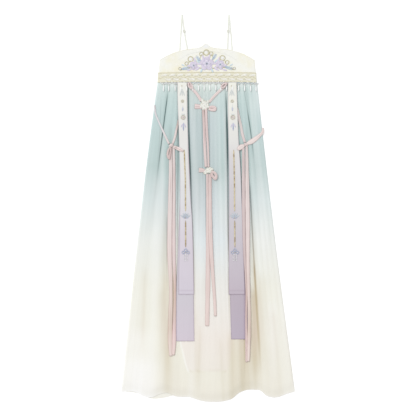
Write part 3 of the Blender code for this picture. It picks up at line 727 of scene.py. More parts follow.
@dataclass(frozen=True)
class LightTable(Finish):
    """A white table that is lit from within as well as from above."""

    glow: float = 0.16

    def wire(self, board: Board) -> tuple[Socket, Socket]:
        """Plain white with a very faint grain, and its own light."""
        shader = board.tree.nodes["Principled BSDF"]
        shader.inputs["Emission Color"].default_value = (1.0, 1.0, 1.0, 1.0)
        shader.inputs["Emission Strength"].default_value = self.glow
        grain = board.noise(board.place(), 90.0)
        return board.mix(grain, seen(255, 255, 255), seen(253, 253, 253)), board.bump(grain, 0.01)


@dataclass(frozen=True)
class Bead(Finish):
    """Glass, pearl or gilt, with a faint cloudiness."""

    paint: Colour = (240, 240, 238)
    cloud: Colour = (225, 228, 232)

    def wire(self, board: Board) -> tuple[Socket, Socket]:
        """Two close colours in soft clouds, and a very slight unevenness."""
        clouds = board.noise(board.place(), 160.0)
        return board.mix(clouds, seen(*self.cloud), seen(*self.paint)), board.bump(clouds, 0.1)


# Dye down the front, off the lining and over it. The first, nearly white stops are painted light under the
# braid's shadow at the waist.
SINGLE = (
    (0, 252, 253, 249), (9, 240, 246, 243), (22, 222, 234, 231), (45, 208, 225, 223),
    (120, 199, 218, 217), (290, 190, 209, 207), (400, 214, 226, 226), (540, 236, 239, 235),
    (700, 241, 241, 231), (890, 242, 241, 229), (1104, 240, 236, 225),
)
LINED = (
    (0, 252, 253, 249), (9, 242, 247, 243), (20, 226, 235, 230), (40, 213, 224, 221),
    (130, 203, 215, 217), (300, 195, 208, 209), (410, 211, 220, 223), (545, 226, 234, 237),
    (690, 236, 236, 232), (890, 243, 237, 230), (1104, 239, 235, 226),
)
SIDE = (
    (0, 210, 227, 225), (120, 200, 219, 219), (290, 199, 215, 214), (410, 224, 234, 233),
    (560, 240, 242, 238), (700, 243, 243, 235), (890, 249, 249, 243), (1104, 250, 250, 245),
)
# Colours of painted shade by drop, mixed in on the front's shade mark.
SHADE = (
    (0, 158, 182, 179), (290, 164, 180, 178), (430, 180, 186, 184), (560, 196, 195, 182),
    (700, 214, 204, 182), (860, 218, 204, 186), (960, 217, 207, 184), (1104, 220, 213, 193),
)
# The darkest painted shade, in the skirt's creases, by drop.
CREASE_SHADE = (
    (0, 62, 92, 90), (250, 66, 90, 90), (400, 96, 108, 110), (540, 136, 130, 118),
    (680, 176, 156, 118), (860, 192, 176, 142), (1104, 206, 198, 176),
)
CREAM_BACK = ((0, 198, 214, 213), (330, 196, 212, 211), (600, 232, 235, 230), (1104, 243, 241, 232))
SKIRT_CHIFFON = Chiffon(
    "ombre_chiffon", 0.9, 0.15, single=SINGLE, lined=LINED, side=SIDE, shade=SHADE, crease_shade=CREASE_SHADE
)
BACK_CHIFFON = Plain("back_chiffon", 0.85, sheen=0.2, tones=CREAM_BACK)
LINING_VOILE = Plain("lining_voile", 0.85, tones=((0, 226, 222, 218), (1000, 238, 226, 216)))
IVORY = Jacquard("ivory_jacquard", 0.7, sheen=0.15)
# Its edge colour is painted shade in the pleats' hollows and along the petals' rims.
GAUZE = Plain(
    "cream_gauze", 0.85, sheen=0.2, threads=900.0, relief=0.2,
    tones=((0, 245, 246, 241), (340, 242, 243, 237)), edge=(216, 213, 202),
)
ELASTIC = Plain(
    "strap_elastic", 0.75, threads=1100.0, relief=0.2, tones=((-240, 239, 241, 231), (-60, 242, 243, 234))
)
LAME = Plain(
    "gold_lame", 0.6, threads=700.0, relief=0.3, mottling=0.10,
    tones=((-40, 233, 230, 209), (10, 234, 231, 211)),
)
# The second of the two colours here tints the painted shade on a tail.
SATIN = Plain(
    "tail_satin", 0.5, sheen=0.1, threads=2600.0, relief=0.05, edge=(223, 214, 221), dim=(206, 178, 194)
)
TAIL_SATINS = {
    name: replace(SATIN, name=name, tones=tones)
    for name, tones in (
        ("tail_satin_left", (
            (0, 241, 241, 234), (200, 233, 232, 229), (400, 223, 223, 226), (545, 218, 211, 220),
            (732, 212, 205, 216),
        )),
        ("tail_satin_right", (
            (0, 241, 241, 232), (200, 230, 229, 226), (304, 220, 219, 221), (407, 214, 212, 215),
            (545, 205, 199, 207), (732, 196, 185, 196),
        )),
        ("lavender_satin", ((0, 214, 210, 214), (730, 208, 203, 211), (895, 213, 203, 214))),
        ("lavender_satin_deep", ((0, 210, 204, 208), (730, 190, 179, 190), (895, 189, 178, 192))),
    )
}
ROSE = Ribbon(
    "rose_satin", 0.5, sheen=0.1,
    tones=((0, 236, 220, 218), (330, 226, 210, 207), (600, 229, 212, 208), (1000, 234, 217, 210)),
)
ROSES = {
    name: replace(ROSE, name=f"rose_satin_{name}", tones=tones)
    for name, tones in (
        ("pale", ((0, 238, 226, 223), (1000, 240, 228, 222))),
        ("mist", ((80, 232, 230, 232), (150, 231, 231, 234), (214, 236, 227, 225))),
        # Darker and browner low down: painted shade beside the strands.
        ("side", (
            (220, 229, 219, 216), (480, 233, 221, 219), (620, 233, 218, 214), (760, 228, 213, 205),
            (850, 221, 205, 192), (910, 233, 217, 210), (1000, 237, 223, 217),
        )),
        # Darker low down: painted shade between the two strands.
        ("shade_between", (
            (220, 226, 216, 213), (620, 230, 213, 212), (720, 216, 192, 180), (800, 220, 199, 190),
            (860, 232, 209, 208), (1000, 237, 222, 213),
        )),
        ("brown", ((130, 200, 187, 180), (148, 208, 196, 190), (170, 232, 222, 219))),
        ("arm", ((90, 220, 210, 205), (145, 226, 220, 217), (209, 228, 213, 212))),
        ("loop", ((220, 220, 203, 199), (266, 226, 208, 205))),
        # Darker just under the upper knot: its painted shadow.
        ("knot", ((92, 204, 185, 180), (128, 222, 205, 202), (200, 230, 214, 212), (300, 228, 212, 209))),
        # Darker in its middle: painted shade beside the tail's edge.
        ("shaded_inner", (
            (220, 224, 212, 210), (430, 216, 201, 200), (620, 211, 194, 193), (740, 218, 196, 188),
            (850, 222, 200, 197), (1000, 232, 214, 208),
        )),
    )
}
PEARL = Bead("pearl", 0.25, coat=0.4, paint=(255, 255, 253), cloud=(244, 246, 248))
GILT = Bead("gilt", 0.4, metallic=0.2, paint=(237, 232, 211), cloud=(222, 216, 187))
GLASS = Bead("blue_glass", 0.2, coat=0.5, paint=(227, 237, 241), cloud=(208, 224, 232))
PLASTIC = Bead("slider_plastic", 0.35, coat=0.1, paint=(234, 234, 224), cloud=(228, 228, 216))
THREADS = {
    name: Stitch(f"{name}_thread", 0.5, sheen, metallic, light=light, dark=dark, dashes=dashes)
    for name, sheen, metallic, light, dark, dashes in (
        ("cream", 0.1, 0.0, (255, 254, 248), (246, 243, 230), 0.0),
        ("gold", 0.0, 0.1, (216, 211, 182), (194, 188, 152), 0.0),
        ("lavender", 0.1, 0.0, (230, 222, 238), (204, 196, 222), 0.0),
        ("petal", 0.1, 0.0, (238, 232, 244), (220, 213, 234), 0.0),
        ("sky", 0.1, 0.0, (220, 234, 240), (184, 208, 222), 0.0),
        ("indigo", 0.0, 0.0, (200, 206, 225), (178, 185, 213), 0.0),
        ("cord", 0.0, 0.1, (230, 217, 180), (170, 146, 106), 70.0),
        ("mist", 0.0, 0.0, (230, 234, 232), (216, 222, 223), 0.0),
        ("lake", 0.0, 0.0, (206, 213, 220), (184, 192, 206), 0.0),
        ("dew", 0.0, 0.0, (216, 221, 234), (198, 204, 222), 0.0),
        ("tan", 0.0, 0.1, (230, 226, 210), (212, 206, 182), 0.0),
        ("heart", 0.0, 0.0, (226, 206, 204), (206, 182, 184), 0.0),
    )
}


# ---------------------------------------------------------------- the skirt


class Crease(NamedTuple):
    """One crease down the front: its places and depths at the waist, hip, knee and hem.

    A depth is a share of the folds' height: 0 leaves no crease, and 1 reaches the lining.
    """

    places: tuple[float, ...]
    depths: tuple[float, ...]
    width: float


class Line(NamedTuple):
    """A line of painted shade or painted light: its places as for a crease, its run, half width and strength.
    """

    places: tuple[float, ...]
    top: float
    foot: float
    width: float
    strength: float


def rows_of(kind: Callable, *rows: tuple) -> tuple:
    """A table of creases or lines from plain rows."""
    return tuple(kind(*row) for row in rows)


LEVELS = (0, 166, 580, 1068)
CREASES = rows_of(
    Crease,
    ((-158.7, -175, -228, -279), (0.5, 0.25, 0.15, 0.3), 7),
    ((-136.3, -155.3, -205.3, -252), (0.9, 0.9, 0.35, 0.3), 6.5),
    ((-116, -124.2, -147.3, -142), (0.35, 0.3, 0.6, 0.2), 7),
    ((-104.5, -104, -103, -98), (0.75, 0.75, 0.55, 0.25), 5),
    ((-69.7, -66.9, -51.6, -46), (0.97, 0.97, 0.55, 0.15), 5.5),
    ((-39.7, -38, -29, -22), (0.45, 0.1, 0.1, 0.4), 5.5),
    ((-17.3, -16, -6, 10), (0.45, 0.12, 0.05, 0.15), 5.5),
    ((6.9, 8, 18, 38), (0.4, 0.1, 0.1, 0.25), 5.5),
    ((29.3, 31, 42, 64), (0.45, 0.12, 0.1, 0.3), 5.5),
    ((61.4, 65.4, 69.7, 90), (0.97, 0.97, 0.5, 0.4), 5.5),
    ((99, 107.6, 121.4, 129), (0.8, 0.8, 0.7, 0.65), 5),
    ((114, 131.1, 152.8, 173), (0.25, 0.4, 0.9, 0.45), 6),
    ((127.5, 147.7, 186.3, 223), (0.85, 0.75, 0.05, 0.35), 6),
    ((150, 169, 214, 268), (0.5, 0.25, 0.15, 0.3), 7),
)
SOFT_FOLDS = rows_of(
    Crease,
    ((-168, -186, -238, -289), (0.3, 0.15, 0.1, 0.16), 6),
    ((-148, -166, -214, -226), (0.2, 0.16, 0.1, 0.22), 6),
    ((-126, -140, -176, -198), (0.22, 0.1, 0.14, 0.18), 7),
    ((-52, -50, -40, -72), (0.25, 0.1, 0.12, 0.18), 6),
    ((-28, -27, -18, -4), (0.25, 0.08, 0.08, 0.22), 6),
    ((18, 20, 31, 24), (0.25, 0.08, 0.06, 0.16), 6),
    ((44, 47, 55, 52), (0.28, 0.12, 0.1, 0.2), 6),
    ((108, 119, 137, 152), (0.22, 0.18, 0.26, 0.34), 6),
    ((138, 158, 200, 205), (0.22, 0.14, 0.1, 0.2), 6),
    ((161, 179, 226, 286), (0.26, 0.18, 0.12, 0.24), 6),
)
# Narrow lines of painted crease shade down the front, carried by the fold mark.
CREASE_SHADE_LINES = rows_of(
    Line,
    ((-133.8, -155.3, -205, -252), 20, 330, 1.9, 0.92),
    ((-133.8, -155.3, -205, -252), 180, 380, 1.9, 0.4),
    ((-21, -20, -15, -10), 60, 400, 2.3, 0.34),
    ((3.6, 4.6, 5, 8), 60, 330, 2.3, 0.28),
    ((-8.6, -8.6, -7.4, -7), 265, 600, 1.9, 0.48),
    ((-103, -103.5, -106, -110), 105, 275, 2.4, 0.45),
    ((126, 126, 126, 126), 850, 1060, 3, 0.5),
    ((-160, -166, -200, -240), 40, 330, 1.6, 0.18),
    ((-68.3, -65.6, -50, -46), -20, 450, 1.9, 0.95),
    ((-68.3, -65.6, -50, -46), 150, 460, 2.7, 0.65),
    ((-68.3, -65.6, -51, -46), 360, 740, 1.7, 0.42),
    ((60, 66.3, 70.8, 90), -20, 70, 1.9, 0.3),
    ((60, 66.3, 70.8, 90), 20, 680, 1.9, 0.95),
    ((60.5, 65.6, 70.8, 90), 90, 360, 3.3, 0.97),
    ((60, 66.3, 69.5, 78), 620, 900, 3, 0.25),
    ((120, 146.3, 186.3, 223), -20, 300, 1.5, 0.3),
    ((120, 146.3, 186.3, 223), 80, 290, 1.8, 0.75),
    ((114, 131.1, 156.5, 186), 325, 760, 2.1, 0.76),
    ((114, 131.1, 156.2, 186), 600, 1010, 3.4, 0.84),
    ((-104, -102.8, -105.5, -98), 90, 640, 2.2, 0.5),
    ((98.5, 106.5, 123.5, 129), 190, 420, 2.2, 0.5),
    ((-125, -136, -142, -134), 440, 760, 2.6, 0.4),
    ((-120, -121, -121, -122), 640, 900, 2.8, 0.75),
    ((-108, -106, -109.5, -110), 620, 900, 2.2, 0.45),
)
# Broad lines of painted shade down the front.
SOFT_SHADE_LINES = rows_of(
    Line,
    ((-137, -155.3, -205, -262), 0, 520, 9, 0.15),
    ((-116, -126, -150, -140), 330, 1300, 13, 0.36),
    ((-130, -132, -138, -134), 640, 1080, 13, 0.34),
    ((-137.5, -137.5, -137.5, -136.5), 800, 1030, 2.6, 0.5),
    ((-158, -175, -214, -226), 620, 980, 9, 0.22),
    ((-142, -142, -142, -142), 230, 460, 5, 0.25),
    ((-120, -126, -140, -132), 860, 1300, 26, 0.18),
    ((-69.7, -66.9, -50, -40), 0, 900, 7, 0.18),
    ((-69.7, -66.9, -50, -40), 760, 1100, 9, 0.22),
    ((-38, -36, -28, -22), 60, 560, 18, 0.22),
    ((-130, -130, -130, -128), 120, 420, 8.5, 0.44),
    ((136, 136, 138, 138), 110, 380, 6, 0.32),
    ((-108.5, -108.5, -106, -106), 140, 380, 3, 0.35),
    ((-39.7, -38, -24, -33), 820, 1120, 7, 0.28),
    ((61.4, 65, 68, 84), 0, 700, 5.5, 0.08),
    ((61.4, 66, 80, 84), 840, 1300, 15, 0.55),
    ((114, 131.1, 157, 184), 330, 760, 7, 0.28),
    ((114, 131.1, 152, 166), 690, 1100, 17, 0.85),
    ((90, 112, 130, 126), 830, 1400, 34, 0.62),
    ((111, 111, 110, 116), 820, 1180, 14, 0.5),
    ((150, 160, 176, 190), 640, 1010, 20, 0.26),
    ((-160, -160, -160, -158), 690, 990, 14, 0.26),
    ((205, 205, 205, 210), 880, 1120, 15, 0.14),
    ((255, 258, 264, 291), 800, 1300, 13, 0.24),
    ((99, 110, 128, 150), 60, 420, 7, 0.15),
    ((127.5, 147.7, 186.3, 212), 0, 420, 7, 0.18),
    ((150, 169, 204, 248), 760, 1300, 16, 0.25),
    ((6.9, 8, 24, 52), 860, 1300, 8, 0.22),
)
# Lines of painted light down the front.
LIGHT_LINES = rows_of(
    Line,
    ((-57, -50, -34, -60), 60, 1300, 9, 0.18),
    ((28, 34, 46, 20), 0, 900, 14, 0.1),
    ((-150, -168, -180, -196), 300, 1300, 14, 0.22),
    ((-160, -180, -225, -240), 830, 1600, 50, 0.4),
    ((-160, -180, -225, -240), 930, 1600, 54, 0.62),
    ((-172, -190, -238, -290), -60, 130, 12, 0.25),
    ((163, 176, 186, 250), -60, 200, 14, 0.3),
    ((140, 164, 184, 226), 440, 720, 20, 0.1),
    ((140, 160, 200, 226), 20, 700, 12, 0.22),
    ((54, 60, 63.5, 76), 70, 900, 3.6, 0.42),
    ((-158, -158, -158, -160), 120, 600, 8, 0.24),
    ((138, 150, 158, 170), 230, 400, 7, 0.2),
    ((212, 212, 217, 228), 740, 1080, 19, 0.4),
)
BARE_LINES = rows_of(Line, ((44, 48, 50, 50), -100, 560, 21, 0.85))
FRONT_HEM = (
    (-300, 1068), (-252, 1070), (-224, 1083), (-197, 1089), (-166, 1077), (-141, 1073),
    (-114, 1084), (-62, 1088), (-28, 1099), (17, 1104), (59, 1100), (83, 1092),
    (104, 1075), (128, 1064), (162, 1062), (183, 1066), (197, 1080), (214, 1087),
    (241, 1087), (266, 1078), (300, 1068),
)
BACK_HEM = (
    (-300, 1066), (-230, 1078), (-200, 1091), (-150, 1090), (-112, 1080), (0, 1084),
    (110, 1058), (200, 1056), (300, 1066),
)


def dome(share: Array) -> Array:
    """Height of a flattened tube, from 0 at a share of -1 or 1 to 1 in its middle."""
    return np.sqrt(np.clip(1.0 - np.abs(share) ** DOME_POWER, 0.0, 1.0))


def fall_of(table: Sequence[Line], across: Array, drops: Array, power: float = 2.0) -> Array:
    """How much of the table's painted shade or painted light falls on each place, from 0 to 1."""
    curve, clear = weights(LEVELS, drops), np.ones_like(across)
    for line in table:
        away = np.abs(across - np.tensordot(line.places, curve, 1)) / line.width
        fade = ease(line.top, line.top + 60.0, drops) * (1.0 - ease(line.foot - 160.0, line.foot, drops))
        clear = clear * (1.0 - line.strength * fade * np.exp(-(away**power)))
    return 1.0 - clear


@dataclass
class Skirt:
    """The gathered front with its folds, the flat back and the lining between them."""

    left: tuple[float, ...] = (-173.8, -196.7, -246.3, -300.0)
    right: tuple[float, ...] = (169.1, 187.3, 236.0, 300.0)
    crest: tuple[float, ...] = (7.0, 8.2, 9.0, 9.4)
    spread: float = 620.0
    side_top: float = 4.0
    inner_floor: float = 1.4
    side_foot: float = 1.9
    side_roll: float = 5.0
    hem_height: float = 1.9
    hem_reach: float = 34.0
    rows: int = 132
    columns: int = 342
    gathers: int = 44
    gather_height: float = 0.75
    gather_length: float = 150.0
    streak_height: float = 0.40
    fine_height: float = 0.16
    sway_height: float = 0.35
    wall: float = 0.6
    back_wall: float = 0.9
    lining_height: float = 2.3
    lining: Edges = ((3, -86, 86), (580, -90, 84), (897, -93, 83), (975, -74, 76), (997, -66, 66))

    def sides(self, curve: Array) -> tuple[Array, Array]:
        """Across of the panels' two long edges, from the weights of the levels."""
        return np.tensordot(self.left, curve, 1), np.tensordot(self.right, curve, 1)

    def relief(self, across: Array, drops: Array) -> tuple[Array, dict[str, Array]]:
        """The front's outer height, and what its marks are worked out from.

        The folds crest in a flattened tube, sqrt(1 - |share|^power) high. Each crease takes
        its share of that height away, as exp(-(distance / width)^power) around its line. Fine
        gathers ripple the cloth under the waist and die out below it, and faint streaks run
        down it.

        Args:
            across: Places across.
            drops: Their drops.

        Returns:
            The heights, and the share across, what the creases leave, and the fine waves.
        """
        curve = weights(LEVELS, drops)
        left, right = self.sides(curve)
        share = np.clip((2 * across - left - right) / (right - left), -1.0, 1.0)
        spread = 1.0 + drops / self.spread
        depths = []
        for crease in CREASES + SOFT_FOLDS:
            away = np.abs(across - np.tensordot(crease.places, curve, 1)) / (crease.width * spread)
            depth = np.clip(np.tensordot(crease.depths, curve, 1), 0.0, 1.0)
            depths.append(depth * np.exp(-(away**CREASE_POWER)))
        left_over = np.prod(1.0 - np.array(depths), axis=0)
        floor = self.side_top + self.inner_floor * (1.0 - share**8)
        crest = self.side_top + (np.tensordot(self.crest, curve, 1) - self.side_top) * dome(share)
        height = floor + np.maximum(crest - floor, 0.0) * left_over
        turn = 2 * np.pi * self.gathers * (share + 0.012 * wobble(share, 0.23, 5))
        strength = np.exp(-np.maximum(drops, 0.0) / self.gather_length) * (0.6 + 0.4 * wobble(share, 0.11, 7))
        height = height + self.gather_height * strength * (np.sin(turn) - 0.4) * (1.0 - share**6)
        inside = ease(-125.0, -85.0, across) * (1.0 - ease(85.0, 125.0, across))
        calm = 1.0 - 0.7 * ease(720.0, 880.0, drops) * (inside + 0.8 * ease(170.0, 200.0, across))
        broad, narrow = wobble(share + drops * 2e-5, 0.055, 13), wobble(share, 0.021, 19)
        streak = broad * (0.6 + 0.4 * wobble(drops + 500 * share, 420.0, 17)) * calm
        fine = narrow * (0.5 + 0.5 * wobble(drops + 900 * share, 260.0, 23)) * calm
        height = height + (self.streak_height * streak + self.fine_height * fine) * left_over
        sway = wobble(drops + 260 * share, 150.0, 11) * ease(0.0, 300.0, drops)
        height = height + self.sway_height * sway * left_over
        rolled = ease(0.0, self.side_roll, np.minimum(across - left, right - across))
        height = self.side_foot + (height - self.side_foot) * np.sqrt(rolled)
        made = {"share": share, "left_over": left_over, "streak": streak, "fine": fine}
        return height, made | {"ripple": strength * (1.0 - np.sin(turn))}

    def marks(self, across: Array, drops: Array, made: dict[str, Array]) -> dict[str, Array]:
        """How much painted crease shade (fold), painted shade, painted light, side and lining shows at each
        place, from 0 to 1.
        """
        lined, beside, under = self.lining_marks(across, drops)
        # Painted light over the last few millimetres above the hem.
        hem_light = 1.0 - ease(0.0, 11.0, smooth_curve(*zip(*FRONT_HEM), across) - drops)
        pale, dark, fine = (np.maximum(wave, 0.0) for wave in (made["streak"], -made["streak"], made["fine"]))
        # The shade mark is painted shade: the soft lines, the creases' own hollows, the gathers' troughs and
        # the dark streaks. It also carries a darker line at the lining's hem.
        shade = fall_of(SOFT_SHADE_LINES, across, drops, 1.5) + 0.22 * (1 - made["left_over"])
        shade = shade + 0.08 * made["ripple"] + 0.14 * dark + 0.08 * fine
        marks = {
            # fold: painted crease shade along the narrow lines.
            "fold": fall_of(CREASE_SHADE_LINES, across, drops),
            "shade": shade + 0.24 * under,
            # light: painted light along the light lines, on pale streaks and just above the hem. It also
            # carries the pale line beside the lining's slanted foot.
            "light": fall_of(LIGHT_LINES, across, drops) + 0.10 * pale + 0.5 * beside + 0.3 * hem_light,
            "side": np.abs(made["share"]) ** 7,
            "lined": lined * (1.0 - fall_of(BARE_LINES, across, drops)),
        }
        return {name: np.clip(mark, 0.0, 1.0) for name, mark in marks.items()}

    def lining_sides(self, drops: Array) -> tuple[float, Array, Array]:
        """The lining's longest drop, and across of its two edges."""
        at, left, right = np.array(self.lining, float).T
        return at[-1], np.interp(drops, at, left), np.interp(drops, at, right)

    def lining_marks(self, across: Array, drops: Array) -> tuple[Array, Array, Array]:
        """Where the lining lies under the front, the pale line beside its slanted foot, and its hem."""
        foot, left, right = self.lining_sides(drops)
        wave = 2.0 * wobble(across, 60.0, 3)
        lined = ease(-1.6, 1.6, across - left) * ease(-1.6, 1.6, right - across)
        low = ease(850.0, 890.0, drops) * ease(-3.0, 0.0, foot - drops)
        beside = np.exp(-(((across - left + 2.5) / 3.0) ** 2)) * low
        under = np.exp(-(((drops - foot - wave) / 3.0) ** 2))
        under = under * ease(0.0, 4.0, np.minimum(across - left, right - across))
        return lined * ease(-2.5, 2.5, foot + wave - drops), beside, under

    def columns_of(self, count: int, creased: bool) -> Array:
        """Lines down the panel, as (4, count) places: even shares, or drawn to the creases."""
        between = [crease.places for crease in CREASES] if creased else []
        lines = np.array([self.left, *between, self.right]).T
        at = (lines[1] - lines[1, 0]) / np.ptp(lines[1])
        shares = np.linspace(0, 1, count)
        if creased:
            counts = np.maximum(5, np.rint(np.diff(at) * count)).astype(int)
            runs = [np.arange(n) / n for n in counts]
            eased = [run - 0.6 * np.sin(2 * np.pi * run) / (2 * np.pi) for run in runs]
            steps = [low + (high - low) * run for low, high, run in zip(at, at[1:], eased)]
            shares = np.append(np.concatenate(steps), 1.0)
        return np.stack([np.interp(shares, at, level) for level in lines])

    def panel(self, rows: int, hem: Stops, lines: Array) -> tuple[Array, Array]:
        """Across and drop of a grid: rows at even shares of the way down, a column on each line."""
        drops = np.linspace(0.0, 1.0, rows)[:, None] * smooth_curve(*zip(*hem), lines[3])[None, :]
        curve = weights(LEVELS, drops)
        return (curve * lines[:, None, :]).sum(axis=0), np.maximum(drops, 0.15)

    def lay(self, pile: Pile) -> None:
        """Puts the front's height into the pile, wherever the front is."""
        across, drops = pile.cells()
        rows = (drops[:, 0] >= 0.0) & (drops[:, 0] <= LONGEST_DROP)
        across, drops = across[rows], drops[rows]
        height, _ = self.relief(across, drops)
        left, right = self.sides(weights(LEVELS, drops[:, :1]))
        hem = smooth_curve(*zip(*FRONT_HEM), across)
        inside = (across >= left) & (across <= right) & (drops <= hem)
        pile.heights[rows] = np.maximum(pile.heights[rows], np.where(inside, height, 0.0))

    def build(self) -> None:
        """Makes the back, the lining and the front."""
        self.build_back()
        self.build_lining()
        self.build_front()

    def build_front(self) -> None:
        """The front: a grid of rows and columns on the relief, with its wall beneath."""
        lines = self.columns_of(self.columns, True)
        across, drops = self.panel(self.rows, FRONT_HEM, lines)
        height, made = self.relief(across, drops)
        hem_share = ease(0.0, self.hem_reach, drops[-1:] - drops)
        height = self.hem_height + (height - self.hem_height) * (0.12 + 0.88 * hem_share)
        points = plan(across, drops, height)
        steps = np.linalg.norm(np.diff(points, axis=1, prepend=points[:, :1]), axis=-1)
        cloth = np.stack([np.cumsum(steps, axis=1), -drops], axis=-1)
        front = grid(points, cloth, self.marks(across, drops, made))
        skirt = make_piece("skirt_front_cloth", [(front, SKIRT_CHIFFON)], self.wall)
        place_piece(skirt, ["skirt_front"])

    def build_back(self) -> None:
        """The back: flat on the floor, as wide as the front."""
        lines = self.columns_of(90, False)
        across, drops = self.panel(80, BACK_HEM, lines)
        points = plan(across, drops, self.back_wall + 0.1)
        panel = grid(points, np.stack([across, -drops], axis=-1))
        back = make_piece("skirt_back_cloth", [(panel, BACK_CHIFFON)], self.back_wall)
        place_piece(back, ["skirt_back"])

    def build_lining(self) -> None:
        """The lining: a flat panel that shows only through the front."""
        drops = np.linspace(self.lining[0][0], self.lining[-1][0], 90)[:, None]
        _, left, right = self.lining_sides(drops)
        across = left + (right - left) * np.linspace(0.0, 1.0, 24)
        points = plan(across, drops, self.lining_height)
        cloth = np.stack([across, np.broadcast_to(-drops, across.shape)], axis=-1)
        inner = make_piece("lining_cloth", [(grid(points, cloth), LINING_VOILE)], self.wall)
        place_piece(inner, ["lining_front"])


# ---------------------------------------------------------------- the bodice


@dataclass
class Bodice:
    """The arched front with its one small peak, its rolled top edge, and the plain back."""

    waist: tuple[float, float] = (-175.0, 169.0)
    corners: tuple[float, float] = (-167.0, 160.5)
    corner_rise: float = 76.0
    arch_rise: float = 41.5
    arch_power: float = 2.6
    peak_rise: float = 15.5
    peak_across: float = -7.0
    peak_width: float = 14.0
    crest: tuple[float, float] = (6.6, 3.3)
    side_top: float = 3.0
    side_foot: float = 1.9
    back_rise: float = 74.0
    shirring: tuple[float, float] = (0.12, 6.0)
    wall: float = 0.9
    roll: float = 2.4

    def neckline(self, across: Array) -> Array:
        """Rise of the top edge: a low arch, plus a bell-shaped peak."""
        middle, half = sum(self.corners) / 2, np.ptp(self.corners) / 2
        share = np.clip(np.abs(across - middle) / half, 0.0, 1.0)
        peak = self.peak_rise * np.exp(-((np.abs(across - self.peak_across) / self.peak_width) ** 1.6))
        return self.corner_rise + self.arch_rise * (1.0 - share**self.arch_power) + peak

    def relief(self, share: Array, up: Array) -> Array:
        """Outer height from the share across (-1 to 1) and the share of the way up."""
        crest = self.crest[0] + (self.crest[1] - self.crest[0]) * up
        rolled = np.sqrt(ease(0.0, 0.03, 1.0 - np.abs(share)))
        height = self.side_top + (crest - self.side_top) * dome(share)
        creases = 0.35 * wobble(share * 3 + up, 0.9, 21) * dome(share) * (1.0 - up)
        return self.side_foot + (height + creases - self.side_foot) * rolled

    def front(self) -> Array:
        """The front's grid of points."""
        foot, top = np.linspace(*self.waist, 170), np.linspace(*self.corners, 170)
        up = np.linspace(1.0, 0.0, 56)[:, None]
        drops = -np.maximum(self.neckline(top) * up, 0.15)
        return plan(foot + (top - foot) * up, drops, self.relief(np.linspace(-1.0, 1.0, 170), up))

    def build(self, pile: Pile) -> None:
        """Makes the front with its rolled edge, lays it on the pile, and makes the back."""
        points = self.front()
        pile.lay(points)
        near_peak = np.exp(-(((points[..., 0] - self.peak_across) / 20.0) ** 2))
        tip = near_peak * ease(112.0, 122.0, points[..., 1] - WAIST_Y)
        surface = grid(points, points[..., :2] - [0.0, WAIST_Y], {"tip": tip})
        front = make_piece("bodice_front_cloth", [(surface, IVORY)], self.wall)
        top = points[0] - [0.0, 0.6, 0.0]
        rolled = tube(top[:, :2], np.full(len(top), self.roll), top[:, 2] - 1.7, 2.2, 10)
        roll = place_piece(make_piece("neckline_roll", [(rolled, IVORY)]))
        place_piece(front, ["bodice_front"])
        self.build_back()

    def build_back(self) -> None:
        """The plain back: flat, with fine rows of shirring across it."""
        rise = np.linspace(1.0, 0.0, 24)[:, None]
        left, right = (foot + (corner - foot) * rise for foot, corner in zip(self.waist, self.corners))
        across = left + (right - left) * np.linspace(0.0, 1.0, 90)
        depth, pitch = self.shirring
        shirred = depth * np.cos(rise * self.back_rise * 2 * np.pi / pitch)
        flat = plan(across, -np.maximum(self.back_rise * rise, 0.15), 1.0 + shirred)
        surface = grid(flat, flat[..., :2] - [0.0, WAIST_Y])
        back = make_piece("bodice_back_cloth", [(surface, IVORY)], self.wall)
        place_piece(back, ["bodice_back"])


# ---------------------------------------------------------------- cords and ribbons


